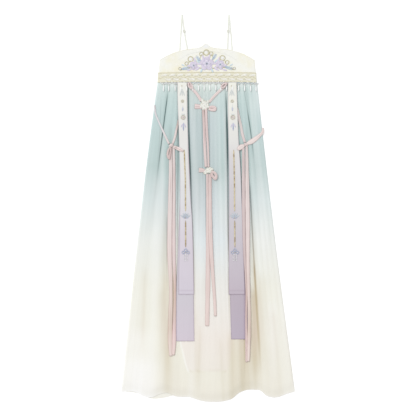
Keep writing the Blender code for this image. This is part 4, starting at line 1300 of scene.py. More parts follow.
def tube(
    line: Array, width: Array, foot: Array, thick: float, around: int = 12,
    ridge: float = 0.0, seed: int = 1, twist: float = 0.0, ends: bool = True,
) -> Patch:
    """A flattened round section carried along a line over the dress.

    Each section is a superellipse as wide as the width and as high as thick. A soft ridge
    wanders over its upper side, and twist gives it two strands' worth of ripple.

    Args:
        line: (n, 2) the middle line.
        width: Its width at each point.
        foot: The height of its underside, (n,) or (n, around).
        thick: How high it stands.
        around: Points on a section.
        ridge: Height of the ridge.
        seed: Which uneven wave the ridge follows.
        twist: Turns a millimetre of a twisted cord, or 0.
        ends: Whether its ends are closed.

    Returns:
        The surface, marked for painted shade at its sides and, if it has a ridge, along a crease in its
        middle.
    """
    heading = np.gradient(line, axis=0)
    heading /= np.maximum(np.linalg.norm(heading, axis=1, keepdims=True), 1e-9)
    side = np.column_stack([heading[:, 1], -heading[:, 0]])
    along = lengths_along(line)
    angle = np.arange(around) * 2 * np.pi / around
    cos, sin = (np.sign(f(angle)) * np.abs(f(angle)) ** 0.85 for f in (np.cos, np.sin))
    girth = 1.0 + 0.13 * np.cos(2 * (angle - 2 * np.pi * twist * along[:, None])) * (twist > 0)
    shift = 0.5 * wobble(along, 90.0, seed)[:, None]
    hump = ridge * np.exp(-(((cos - shift) / 0.4) ** 2)) * (sin > 0)
    across = cos * girth * width[:, None] / 2
    foot = np.broadcast_to(np.reshape(foot, (len(line), -1)), (len(line), around))
    height = foot + (1 + sin * girth) * thick / 2 + hump
    points = np.dstack([line[:, None] + side[:, None] * across[..., None], height[..., None]])
    cloth = np.dstack(np.broadcast_arrays((angle / np.pi * width.mean())[None, :], along[:, None]))
    # Both marks below are painted shade: along a wandering crease on the upper side, and at the sides where
    # the ribbon rounds away.
    crease = 0.5 + 0.5 * wobble(along, 130.0, seed + 7)[:, None]
    high = 1.0 - 0.75 * ease(330.0, 480.0, WAIST_Y - line[:, 1:2])
    pleat = np.exp(-(((cos - 0.3 * shift) / 0.2) ** 2)) * crease * high * (sin > 0) * (ridge > 0)
    rim = np.broadcast_to(np.abs(cos) ** 4, pleat.shape)
    body = grid(points, cloth, {"rim": rim, "pleat": pleat}, wrap=True)
    poles = [body.points[:around].mean(axis=0), body.points[-around:].mean(axis=0)]
    return capped(body, around, poles) if ends else body


def route(stops: Stops, step: float) -> tuple[Array, Array]:
    """A smooth line through (across, drop, width) stops.

    Args:
        stops: The stops.
        step: The distance between the line's points.

    Returns:
        (n, 2) points of the plan, and the width at each.
    """
    table = np.array(stops, float)
    places = plan(table[:, 0], table[:, 1])[:, :2]
    along = lengths_along(places)
    at = np.linspace(0.0, along[-1], max(6, int(np.ceil(along[-1] / step)) + 1))
    line = np.column_stack([smooth_curve(along, places[:, k], at) for k in (0, 1)])
    return line, smooth_curve(along, table[:, 2], at)


def cord_on(
    pile: Pile, line: Array, width: Array | float, thick: float, sink: float, around: int, twist: float
) -> Patch:
    """A twisted cord along a line, sunk a little into what it lies on."""
    foot = pile.resting(line[:, 0], line[:, 1], 1) - sink
    return tube(line, width + np.zeros(len(line)), foot, thick, around, twist=twist)


@dataclass
class Straps:
    """Two narrow elastic straps, each one band that turns at the top, with its slider.

    A strap's stops are (across, drop), up its front leg to the apex and down its back leg.
    """

    width: float = 4.6
    wall: float = 1.0
    apex: int = 5
    slider: tuple[float, float] = (8.4, 9.0)
    slider_drop: float = -176.0
    bar: float = 1.7
    left: Table = (
        (-71.5, -100), (-71.9, -117), (-77.2, -147), (-83.5, -185), (-88.6, -228), (-89.5, -233.8),
        (-93, -180), (-97.6, -106), (-99, -70),
    )
    right: Table = (
        (67, -100), (67.5, -117), (68.9, -150), (70.3, -185), (71.9, -228), (72.6, -233.8), (77.8, -180),
        (83.8, -106), (86.3, -70),
    )

    def band(self, stops: Stops) -> Patch:
        """One band: up from the front, over its slider's bar, round at the top and down."""
        legs = stops[: self.apex + 1], stops[self.apex :]
        parts = [route([(*stop, self.width) for stop in leg], 2.5)[0] for leg in legs]
        drops = [WAIST_Y - part[:, 1] for part in parts]
        near = np.exp(-(((drops[0] - self.slider_drop) / 2.2) ** 2))
        up = 1.0 + 2.2 * near - 0.9 * ease(-190.0, -232.0, drops[0])
        down = 0.3 + 0.5 * ease(-190.0, -232.0, drops[1])
        line, foot = np.vstack(parts), np.concatenate([up, down])
        keep = np.append(True, np.linalg.norm(np.diff(line, axis=0), axis=1) > 0.2)
        return tube(line[keep], np.full(keep.sum(), self.width), foot[keep], self.wall, 10)

    def frame_of(self, across: float, drop: float) -> Patch:
        """The slider: two long sides and three bars, each a rounded rod."""
        width, length = self.slider
        x, y = width / 2 - self.bar / 2, length / 2 - self.bar / 2
        rods = [(-x, -y, -x, y), (x, -y, x, y), (-x, -y, x, -y), (-x, 0, x, 0), (-x, y, x, y)]
        lines = [np.linspace(rod[:2], rod[2:], 8) + plan(across, drop)[:2] for rod in rods]
        return merged([tube(line, np.full(8, self.bar), np.full(8, 2.2), self.bar, 10) for line in lines])

    def build(self) -> None:
        """Makes both straps and both sliders."""
        for name, stops in (("left", self.left), ("right", self.right)):
            band = make_piece(f"strap_{name}_band", [(self.band(stops), ELASTIC)])
            nodes = [f"strap_{name}_front", f"strap_{name}_back"]
            place_piece(band, nodes)
            across = np.interp(self.slider_drop, [-185.0, -147.0], [stops[3][0], stops[2][0]])
            frame = self.frame_of(across, self.slider_drop)
            slider = make_piece(f"slider_{name}_frame", [(frame, PLASTIC)])
            place_piece(slider, [f"slider_{name}"])


# ---------------------------------------------------------------- waist braid and beads


def lobe(length: float, width: float, height: float, around: int = 14, point: float = 0.4) -> Patch:
    """A low cushion of stitches with a flat foot, along +X, which point narrows to its tips."""
    profile = [(0, 1.0), (0.4, 0.96), (0.75, 0.72), (0.95, 0.3), (1.0, 0.0), (0.0, 0.0)]
    angle = np.arange(around) * 2 * np.pi / around
    shape = turned(profile, around, 1.0 - point * np.abs(np.sin(angle)) ** 0.8 * 0.4)
    size = np.array([length / 2, width / 2, height])
    return shape._replace(points=shape.points * size, cloth=shape.cloth * size[:2])


def ball(radius: float, around: int = 8) -> Patch:
    """A small bead that sits on the level plan."""
    tilt = np.linspace(0.0, np.pi, 6)
    return turned(list(zip(radius * np.sin(tilt), radius * (1 + np.cos(tilt)))), around)


def waist_bow(across: Array) -> Array:
    """How far the middle of the waist rises over its ends: 1 - |share|^2.5 of its height."""
    return WAIST_BOW * (1.0 - np.clip(np.abs(across) / 172.0, 0.0, 1.0) ** 2.5)


@dataclass
class Braid:
    """The waist braid: gilt cords along its edges, two rows of leaves and a wavy vine."""

    ends: tuple[float, float] = (-172.5, 166.2)
    foot: float = 2.0
    height: float = 34.5
    wall: float = 0.9
    pitch: float = 27.6
    leaf_rows: tuple[float, float] = (-8.0, -22.5)
    leaf_size: tuple[float, float, float] = (24.0, 10.0, 1.2)
    lean: float = 0.22
    cord: float = 2.6
    wave: float = 3.4

    def build(self, pile: Pile) -> None:
        """Makes the ground, cords, leaves, vine and beads as one piece."""
        top = self.foot - self.height
        across, drops = np.meshgrid(np.linspace(*self.ends, 230), np.linspace(top, self.foot, 24))
        drops = drops - waist_bow(across)
        ground = plan(across, drops, pile.resting(across, WAIST_Y - drops, 3) + 0.2 + self.wall)
        pile.lay(ground)
        run, cords = np.linspace(*self.ends, 460), []
        for middle in (top + self.cord / 2, self.foot - self.cord / 2):
            line = plan(run, middle - waist_bow(run))[:, :2]
            cords.append(cord_on(pile, line, self.cord, self.cord * 0.8, 1.0, 8, 0.11))
        layers = [(grid(ground, ground[..., :2]), LAME), *((cord, GILT) for cord in cords)]
        for row in (0, 1):
            layers += self.leaf_row(row, pile)
        run = np.linspace(self.ends[0] + 1, self.ends[1] - 1, 420)
        wave = sum(self.leaf_rows) / 2 + self.wave * np.cos(2 * np.pi * run / self.pitch) - waist_bow(run)
        layers.append((cord_on(pile, plan(run, wave)[:, :2], 1.7, 1.3, 0.2, 6, 0.2), GILT))
        place_piece(make_piece("waist_braid_trim", layers), ["waist_braid"])
        for cord in cords:
            pile.lay(cord.points[:-2].reshape(-1, 8, 3))

    def leaf_row(self, row: int, pile: Pile) -> list[tuple[Patch, Finish]]:
        """One row of leaves, with a gilt bead and two pearls between each two."""
        middle = self.leaf_rows[row]
        start = np.ceil((self.ends[0] + 12) / self.pitch - row / 2) + row / 2
        places = np.arange(start * self.pitch, self.ends[1] - 9, self.pitch)
        spots = plan(places, middle - waist_bow(places))
        leaves = scatter(lobe(*self.leaf_size), spots, (2 * row - 1) * self.lean)
        between = places + self.pitch / 2
        beads = plan(between, middle - 1.5 * (1 - 2 * row) - waist_bow(between))
        beads = beads[beads[:, 0] < self.ends[1] - 3]
        seeds = np.concatenate([beads + [shift, 0.0, 0.0] for shift in (-3.4, 3.4)])
        seeds = seeds[np.abs(seeds[:, 0] + 3) < 169]
        return [
            (pile.drape(leaves, 1, -0.1), THREADS["cream"]),
            (pile.drape(scatter(ball(1.6), beads), 1, -0.4), GILT),
            (pile.drape(scatter(ball(1.0, 6), seeds), 1, -0.3), PEARL),
        ]


@dataclass
class Fringe:
    """The bead fringe: a net of seed beads under the braid, with long drops at its points."""

    places: tuple[float, ...] = (
        -153.5, -135.5, -113, -93, -73, -52.6, -32.8, -13.1, 6.7, 27.2, 44.8, 63.4, 84.5, 105.6, 126.2,
        147, 165.6,
    )
    pitch: float = 20.05
    top: float = 2.0
    net: float = 7.5
    drop_length: float = 23.0
    drop_width: float = 5.6
    seed: float = 1.5
    blue: tuple[int, ...] = (5, 6, 13, 14, 15)

    def build(self, pile: Pile) -> None:
        """Makes seed beads in two crossing zigzags, their drops and gilt caps as one piece."""
        beads = np.array(self.places)
        steps = np.linspace(0.0, 1.0, 7)
        white, blue = [], []
        for k, middle in enumerate(beads):
            down = self.top - waist_bow(middle) + self.net * steps
            for reach in (-self.pitch / 2, self.pitch / 2):
                white.append(plan(middle + reach * (1 - steps), down))
                (blue if k in self.blue else white).append(plan(middle + reach * steps[1:5], down[1:5]))
        hang = self.top - waist_bow(beads) + self.net + 1.5
        drops = scatter(self.long_drop(), plan(beads, hang + self.drop_length / 2))
        parts = [
            (pile.drape(scatter(ball(self.seed, 6), np.concatenate(white)), 1, 0.1), PEARL),
            (pile.drape(scatter(ball(self.seed, 6), np.concatenate(blue)), 1, 0.1), GLASS),
            (pile.drape(drops, 3), PEARL),
            (pile.drape(scatter(ball(1.5), plan(beads, hang)), 1, 0.2), GILT),
        ]
        place_piece(make_piece("bead_fringe_net", parts), ["bead_fringe"])

    def long_drop(self) -> Patch:
        """One drop, which swells towards its foot and lies down the dress."""
        tilt = np.linspace(0.0, np.pi, 9)
        swell = np.sin(tilt) * (0.55 + 0.45 * ease(0.15, 0.75, tilt / np.pi))
        drop = turned(list(zip(self.drop_width / 2 * swell, self.drop_length / 2 * np.cos(tilt))), 10)
        return drop._replace(points=drop.points[:, [0, 2, 1]] * [-1, 1, 1] + [0, 0, self.drop_width / 2])


# ---------------------------------------------------------------- tails and their motifs


class Motif(Enum):
    """The small embroidered figures on a tail."""

    BUD = "bud"
    BELL = "bell"
    ROUNDEL = "roundel"
    DROP = "drop"
    ROSETTE = "rosette"
    PENDANT = "pendant"
    LOTUS = "lotus"
    TREFOIL = "trefoil"


MOTIFS = (
    (Motif.BUD, 14), (Motif.BELL, 38), (Motif.ROUNDEL, 66.6), (Motif.DROP, 90.5),
    (Motif.ROSETTE, 122.5), (Motif.PENDANT, 154.5), (Motif.LOTUS, 463), (Motif.TREFOIL, 588),
)
CORD_RUNS = ((234, 446), (478, 570))


def blossom(radius: float, petals: int, height: float) -> Patch:
    """Petals side by side in a ring, each a raised lobe."""
    petal = lobe(radius * 1.02, radius * 2.3 / petals * 1.25, height, 12, 0.2)
    return scatter(petal, circle(petals, 0.3) * radius * 0.52, np.arange(petals) * 2 * np.pi / petals + 0.3)


def ring_of(radius: float, thick: float, around: int = 28) -> Patch:
    """A ring that lies level: a round section carried round a circle."""
    angle = np.linspace(0.0, 2 * np.pi, around + 1)
    line = radius * np.column_stack([np.cos(angle), np.sin(angle)])
    return tube(line, np.full(around + 1, thick), np.zeros(around + 1), thick * 0.8, 8, ends=False)


def figure(motif: Motif) -> list[tuple[Patch, Finish]]:
    """The raised shapes of one figure, each with its thread."""
    up = np.pi / 2
    tan, mist, indigo = THREADS["tan"], THREADS["mist"], THREADS["indigo"]
    if motif is Motif.BUD:
        return [(moved(lobe(7.0, 5.0, 0.9, 12, 0.5), (0, 0, 0), up), tan)]
    if motif is Motif.BELL:
        spots = [[-5, 0, 0], [5, 0, 0], [0, 0.5, 0.3]]
        fan = scatter(lobe(24.0, 5.5, 0.9, 16, 0.7), spots, [up - 0.28, up + 0.28, up])
        return [(fan, mist), (moved(ball(1.5), (0, 12.5, 0)), PEARL)]
    if motif is Motif.ROUNDEL:
        return [(ring_of(4.6, 2.0), tan), (blossom(3.6, 6, 0.9), tan), (ball(1.3), PEARL)]
    if motif is Motif.DROP:
        body = moved(lobe(27.0, 4.8, 0.9, 16, 0.9), (0, 0, 0), up)
        return [(body, mist), (moved(lobe(16.0, 7.4, 1.2, 14, 0.5), (0, -3, 0), up), THREADS["dew"])]
    if motif is Motif.ROSETTE:
        spots = [[-3.4, 9, 0], [3.4, 9, 0], [0, 10, 0]]
        crown = scatter(lobe(9.0, 4.0, 0.9, 12, 0.5), spots, [up + 0.4, up - 0.4, up])
        rim = scatter(ball(1.1, 6), 7.6 * circle(12))
        heart = [(blossom(4.8, 5, 0.8), THREADS["heart"]), (ball(1.5), PEARL)]
        return [(ring_of(6.2, 1.6), tan), *heart, (rim, tan), (crown, mist)]
    if motif is Motif.PENDANT:
        wings = scatter(lobe(16.0, 4.4, 0.8), [[-5.6, 4, 0], [5.6, 4, 0]], [up - 0.35, up + 0.35])
        return [(moved(lobe(31.0, 7.6, 1.1, 16, 0.8), (0, 0, 0), up), indigo), (wings, THREADS["lavender"])]
    if motif is Motif.LOTUS:
        lean = np.array([1.05, 0.5, 0.0, -0.5, -1.05])
        spots = np.column_stack([-9.5 * np.sin(lean), 11.0 * np.cos(lean) - 7.0, 0.2 * np.abs(lean)])
        foot = scatter(lobe(10.0, 4.6, 1.3), [[-4.5, -6, 0], [4.5, -6, 0]], [2.9, 0.2])
        petals = scatter(lobe(20.0, 8.0, 1.0, 14, 0.5), spots, up + lean)
        return [(petals, THREADS["lake"]), (foot, indigo), (moved(ball(1.7), (0, -6, 0)), THREADS["cord"])]
    spots = np.array([[0, 8, 0], [-8, 0, 0], [8, 0, 0]])
    dots = np.array([[x, y, 0] for x in (-5.5, 0, 5.5) for y in (-7, -12, -17, -22, -27)])
    rings = (scatter(ring_of(4.8, 2.6, 20), spots), indigo)
    pearls = [(scatter(ball(1.6), spots), PEARL), (scatter(ball(1.7, 6), dots), PEARL)]
    return [rings, *pearls, (moved(ball(1.6), (0, 0.5, 0)), tan)]


@dataclass
class Tail:
    """One front tail: two satin bands, the upper one embroidered."""

    side: str
    upper: Edges
    lower: Edges
    upper_finish: Finish
    lower_finish: Finish
    spine: tuple[float, float, float, float]
    # Lines of painted shade on the bands, where creases and strands beside them shade the satin.
    shades: tuple[Line, ...]
    wall: float = 0.7
    clearance: float = 0.35
    ripple: float = 0.3
    reach: int = 9
    columns: int = 22
    step: float = 3.5
    seam: float = 2.5
    hem_stitch: float = 13.0

    def band(self, edges: Edges, pile: Pile, seed: int, stitched: float) -> tuple[Array, Patch]:
        """One band: its grid of points, which bridges the folds beneath, and its surface."""
        at, *sides = np.array(edges, float).T
        drops = np.linspace(at[0], at[-1], int(np.ptp(at) / self.step))[:, None]
        left, right = (smooth_curve(at, side, drops) for side in sides)
        share = np.linspace(0.0, 1.0, self.columns)
        share = 0.5 - 0.5 * np.cos(np.pi * share) * (1 - 0.25 * np.sin(np.pi * share))
        across = left + (right - left) * share
        drops = np.broadcast_to(drops, across.shape)
        rest = pile.resting(across, WAIST_Y - drops, self.reach) + self.clearance + self.wall
        rest = rest + self.ripple * (1 + wobble(drops + 30 * share, 120.0, seed)) * np.sin(np.pi * share)
        end = np.minimum(at[-1] - drops, 99.0)
        stitches = stitched * np.exp(-(((end - self.hem_stitch) / 2.0) ** 2))
        inset = np.minimum(np.minimum(across - left, right - across), end)
        # The edge mark is the seams and the hem stitch; the other mark is painted shade from the shade lines.
        marks = {
            "edge": np.maximum(1.0 - ease(0.0, self.seam, inset), stitches),
            "dim": fall_of(self.shades, across, drops),
        }
        points = plan(across, drops, rest)
        return points, grid(points, np.stack([across - (left + right) / 2, -drops], axis=-1), marks)

    def middle(self, drop: Array | float) -> Array:
        """Across of the line that the figures are worked on."""
        return np.interp(drop, (0.0, 154.0, 340.0, 732.0), self.spine)

    def build(self, pile: Pile) -> None:
        """Makes the lower band, then the upper one with its stitches and figures."""
        self.build_band("lower", self.lower, self.lower_finish, pile, 31, 0.0)
        self.build_band("upper", self.upper, self.upper_finish, pile, 32, 0.45)

    def build_band(
        self, layer: str, edges: Edges, finish: Finish, pile: Pile, seed: int, stitched: float
    ) -> None:
        """Makes one band and lays it on the pile, with the figures on it if it is the upper one."""
        points, surface = self.band(edges, pile, seed, stitched)
        pile.lay(points)
        name = f"tail_{self.side}_{layer}"
        band = make_piece(f"{name}_satin", [(surface, finish)], self.wall)
        figures = [self.embroider(pile)] if layer == "upper" else []
        place_piece(band, [name])

    def embroider(self, pile: Pile) -> bpy.types.Object:
        """Lays the figures and the gilt cord down the middle of the upper band."""
        parts = []
        for motif, drop in MOTIFS:
            spot = plan(self.middle(drop), drop)
            parts += [(moved(shape, spot), thread) for shape, thread in figure(motif)]
        for start, end in CORD_RUNS:
            drops = np.linspace(start, end, int((end - start) / 1.6))
            line = plan(self.middle(drops), drops)[:, :2]
            tips = np.minimum(1.0, 0.35 + np.minimum(drops - start, end - drops) / 14.0)
            parts.append((tube(line, 4.2 * tips, np.zeros(len(line)), 1.3, 10, twist=0.05), THREADS["cord"]))
        draped = [(pile.drape(shape, 1, -0.15), thread) for shape, thread in parts]
        return place_piece(make_piece(f"tail_{self.side}_figures", draped))


TAILS = (
    Tail(
        "left",
        (
            (2.5, -105.2, -72.7), (80, -104.2, -71.8), (120, -102.5, -71), (183, -100.4, -69.3),
            (304, -96.8, -64.2), (407, -96.6, -59.8), (476, -97.4, -54.8), (545, -98.3, -52.4),
            (690, -101.4, -49.2), (732.5, -101.4, -48.6),
        ),
        (
            (2.5, -101, -75), (166, -98.5, -71.5), (338, -95.5, -64), (580, -104, -53.5),
            (732, -109.7, -50), (893.5, -110.4, -47.3),
        ),
        TAIL_SATINS["tail_satin_left"], TAIL_SATINS["lavender_satin"], (-90.8, -84.6, -78.0, -76.0),
        rows_of(Line, ((-71, -69, -50, -46), 190, 460, 3.5, 0.50)),
    ),
    Tail(
        "right",
        (
            (2.5, 69, 98.3), (118, 69, 102.4), (183, 70.5, 104.5), (304, 72.1, 112), (407, 72.5, 116),
            (545, 71.8, 120.8), (732.5, 71.5, 127),
        ),
        (
            (2.5, 71, 95.5), (166, 72.5, 101.5), (338, 74.5, 112), (580, 73.5, 124), (732, 76, 132),
            (887, 80, 146.6),
        ),
        TAIL_SATINS["tail_satin_right"], TAIL_SATINS["lavender_satin_deep"], (80.6, 86.8, 91.0, 94.0),
        rows_of(Line, ((131, 131, 129, 131), 690, 1100, 5, 0.50), ((76, 78, 84, 88), 200, 560, 16, 0.16)),
    ),
)


# ---------------------------------------------------------------- ties and knots


ARMS = {
    "side_left_arm_outer": (
        (-184, 80, 5.5), (-181.5, 107, 5.5), (-172.5, 131, 5.5), (-152, 176, 6.5), (-134.5, 214, 7),
    ),
    "side_left_arm_inner": ((-101, 131, 6.5), (-109, 166, 7.5), (-116, 197, 8), (-122, 214, 7.5)),
    "side_right_arm_outer": (
        (189.5, 158, 7), (189, 172, 8.5), (176, 186, 11), (160, 199, 16), (144, 209, 15), (134, 213, 9),
    ),
    "side_right_arm_inner": (
        (100, 90, 8), (105.6, 118, 9), (113.4, 152, 9.5), (119.4, 183, 9), (127, 209, 8),
    ),
}
TIES = {
    "centre_arm_left": ((-66.5, 3, 9.5), (-58.5, 18.5, 9.5), (-39.5, 40, 9.5), (-23, 66, 9.5)),
    "centre_arm_right": ((65, 3, 9.5), (57, 15, 9.5), (37.5, 33, 9.5), (19, 52, 9), (4, 70, 8)),
    "centre_strand_mid_left": ((-16.5, 92, 9), (-13, 166, 9.2), (-11.5, 217, 9.8), (-7, 294, 9)),
    "centre_strand_mid_right": ((-7, 92, 8), (-4, 166, 7.8), (-0.5, 217, 7), (2, 294, 6.4)),
    "centre_strand_low_left": (
        (-2, 318, 9.5), (-1.6, 355, 9.6), (-0.6, 590, 13), (-0.4, 683, 15.5), (-2, 787, 13.6),
        (-2.8, 841, 13.4),
    ),
    "centre_strand_low_right": (
        (8, 318, 9), (7.6, 355, 9.6), (11.4, 590, 13.4), (18, 683, 11), (24, 770, 9.6), (25.5, 807, 8.6),
    ),
    "side_left_strand_outer": (
        (-128.5, 222, 9.5), (-128.8, 338, 13.5), (-131, 462, 15.5), (-132.1, 590, 16), (-127.6, 718, 12),
        (-129.6, 830, 15.4), (-129.8, 900, 15.2), (-128, 945, 10.5),
    ),
    "side_left_strand_inner": (
        (-118.5, 222, 9), (-116.5, 338, 9.5), (-117.6, 462, 10.5), (-117.6, 590, 11.5), (-114, 718, 8.5),
        (-116.2, 850, 11.5), (-117.2, 905, 13), (-119.4, 941, 9),
    ),
    "side_right_strand_inner": (
        (122, 222, 8.5), (122.4, 372, 11), (126, 590, 9), (132.4, 718, 6.5), (131.4, 830, 6),
        (132.6, 900, 8), (132.6, 966, 7),
    ),
    "side_right_strand_outer": (
        (133.5, 222, 8.5), (135.2, 372, 13.6), (136.4, 480, 15), (137, 590, 12.5), (139.9, 718, 10),
        (142.2, 830, 11.4), (140.6, 900, 11), (139.2, 963, 8.6),
    ),
    "centre_end_upper": ((-20, 87, 12), (-34, 85, 15.5), (-46, 84, 17)),
    "centre_end_lower": ((-8, 309, 9), (-20, 304.5, 14), (-31.5, 304, 15.5)),
    "side_left_bow_end": ((-119, 223, 8), (-101, 231, 12.5), (-85, 239, 7)),
    "side_right_bow_end": ((126, 218, 7), (113, 225, 17), (102, 234, 9)),
}
LOOPS = {
    "centre_twist_left": (
        (-65, 2, 4.6), (-68, 11, 4.8), (-60, 22, 5), (-53, 21, 4.8), (-56.5, 11, 4.6), (-63, 3, 4.4),
    ),
    "centre_twist_right": (
        (63, 4, 5), (52, 9, 5.4), (46, 18, 5.4), (52, 20, 5.4), (61, 12, 5.2), (64, 5, 4.6),
    ),
    "centre_loop_upper": (
        (2, 89, 7), (14, 86.5, 9.6), (24, 89.8, 10.2), (24, 95.6, 10.2), (14, 96.5, 9.6), (2, 94, 7),
    ),
    "centre_loop_lower": (
        (12, 309, 7.5), (23, 314, 9), (28, 325, 10), (25, 334, 10), (18, 328, 9), (11, 313, 7),
    ),
    "side_left_loop": (
        (-128, 221, 5), (-136.5, 236, 6.5), (-138.5, 254, 7.6), (-134, 264, 7.6), (-131, 250, 6.5),
        (-127, 226, 5),
    ),
}
TIE_LOOKS = {
    "pale": ("side_left_bow_end", "side_right_bow_end", "side_right_arm_outer", "centre_arm_right"),
    "mist": ("side_left_arm_outer",),
    "brown": ("side_left_arm_inner",),
    "arm": ("side_right_arm_inner",),
    "loop": ("side_left_loop",),
    "knot": ("centre_strand_mid_left",),
    "side": ("side_left_strand_outer", "side_right_strand_outer"),
    "shade_between": ("side_left_strand_inner",),
    "shaded_inner": ("side_right_strand_inner",),
}
TIE_FINISH = {name: ROSES[look] for look, names in TIE_LOOKS.items() for name in names}


@dataclass
class Ties:
    """The satin ties: arms from the seams, long strands, short ends and loops."""

    thick: float = 2.0
    step: float = 4.0
    loop_thick: float = 3.0
    loop_step: float = 1.8
    clearance: float = 0.25
    pressed: float = 0.8
    unevenness: float = 0.05
    ridge: float = 0.5
    around: int = 24
    fold: float = 2.1

    def ribbon(self, name: str, stops: Stops, pile: Pile, seed: int) -> None:
        """One tie along its stops, folded soft and a little uneven, laid on the pile."""
        loop = name in LOOPS
        line, width = route(stops, self.loop_step if loop else self.step)
        width = width * (1.0 + self.unevenness * wobble(np.arange(len(width)), 17.0, seed))
        foot = pile.resting(line[:, 0], line[:, 1], 3 if loop or len(line) < 30 else 6) + self.clearance
        if loop:
            foot = np.full(len(foot), foot.max() - self.pressed)
        thick = self.loop_thick if loop else self.thick
        surface = tube(line, width, foot, thick, self.around, self.ridge, seed)
        obj = make_piece(f"{name}_satin", [(surface, TIE_FINISH.get(name, ROSE))])
        place_piece(obj, [name])
        pile.lay(surface.points[:-2].reshape(len(line), self.around, 3))

    def build(self, table: dict[str, Stops], pile: Pile, first_seed: int) -> None:
        """Makes a table's ties in turn."""
        for seed, (name, stops) in enumerate(table.items(), first_seed):
            self.ribbon(name, stops, pile, seed)


@dataclass
class Knots:
    """The two pleated knots of cream gauze and the small wrapped knots of the side ties.

    A gauze knot is a table of petals: (across, drop, length, width, turn in degrees, rise).
    The wrapped knots are rows of (side, across, drop, turn in degrees).
    """

    upper_at: tuple[float, float] = (-11.5, 80.0)
    upper: Table = (
        (-6.5, -13, 26, 13, 116, 0), (8.5, -8.5, 26, 12, 48, 0.2), (-9.5, 2, 24, 16, 78, 0.6),
        (8, 3, 25, 17, 102, 0.8), (-1, 8, 24, 19, 90, 1.2), (0, -3, 28, 20, 80, 2.2),
    )
    lower_at: tuple[float, float] = (1.5, 308.0)
    lower: Table = (
        (-7.5, 3.5, 24, 15, 20, 0), (7, -6.5, 26, 16, 150, 0.3), (9, 3.5, 24, 15, -40, 0.7),
        (-4, -4.5, 20, 14, 50, 1), (2.5, -0.5, 27, 18, -12, 2),
    )
    sides: Table = (
        ("left", -126.5, 219, 20), ("right", 131, 216, -30),
    )

    def fan(self, length: float, width: float, height: float, pleats: int, lean: float) -> Patch:
        """A pleated lobe: a dome whose height and edge ripple with the pleats."""
        around = 72
        angle = np.arange(around) * 2 * np.pi / around
        ripple = 0.5 + 0.5 * np.cos(pleats * (angle + lean * np.sin(angle)))
        radii = np.array([0.0, 0.14, 0.3, 0.5, 0.7, 0.86, 0.96, 1.0, 0.9, 0.0])
        rise = np.array([0.9, 0.94, 1.0, 0.98, 0.86, 0.66, 0.42, 0.2, 0.0, 0.0])
        shape = turned(list(zip(radii, rise)), around, 0.88 + 0.12 * ripple)
        size = np.array([length / 2, width / 2, height])
        points = shape.points * size
        points[:-2].reshape(-1, around, 3)[:7, :, 2] *= 1.0 - 0.30 * radii[1:8, None] ** 0.7 * (1 - ripple)
        rings = radii[1:-1, None]
        # The edge mark is painted shade: darker in the pleats' hollows and at the rim.
        dent = (1.0 - ripple) * rings**0.6
        edge = np.append(np.clip(dent + 0.7 * ease(0.8, 1.0, rings), 0.0, 1.0).ravel(), [0.0, 1.0])
        return shape._replace(points=points, cloth=shape.cloth * size[:2], marks={"edge": edge})

    def gauze(self, name: str, at: tuple[float, float], petals: Stops, pile: Pile) -> None:
        """A cream knot of overlapping pleated petals."""
        base = pile.resting(*plan(*at)[:2, None], 3)[0] - 0.8
        parts = []
        for across, drop, length, width, turn, rise in petals:
            place = plan(at[0] + across, at[1] + drop, base + rise)
            parts.append((moved(self.fan(length, width, 4.6, 5, 0.4), place, np.radians(turn)), GAUZE))
        place_piece(make_piece(f"{name}_gauze", parts), [name])

    def build(self, pile: Pile) -> None:
        """Makes all four knots."""
        self.gauze("knot_upper", self.upper_at, self.upper, pile)
        self.gauze("knot_lower", self.lower_at, self.lower, pile)
        for side, across, drop, turn in self.sides:
            base = pile.resting(*plan(across, drop)[:2, None], 2)[0] - 1.2
            shape = moved(self.fan(17.0, 12.5, 5.0, 6, 0.5), plan(across, drop, base), np.radians(turn))
            knot = make_piece(f"side_{side}_knot_satin", [(shape, ROSE)])
            place_piece(knot, [f"side_{side}_knot"])


# ---------------------------------------------------------------- the bodice's garland


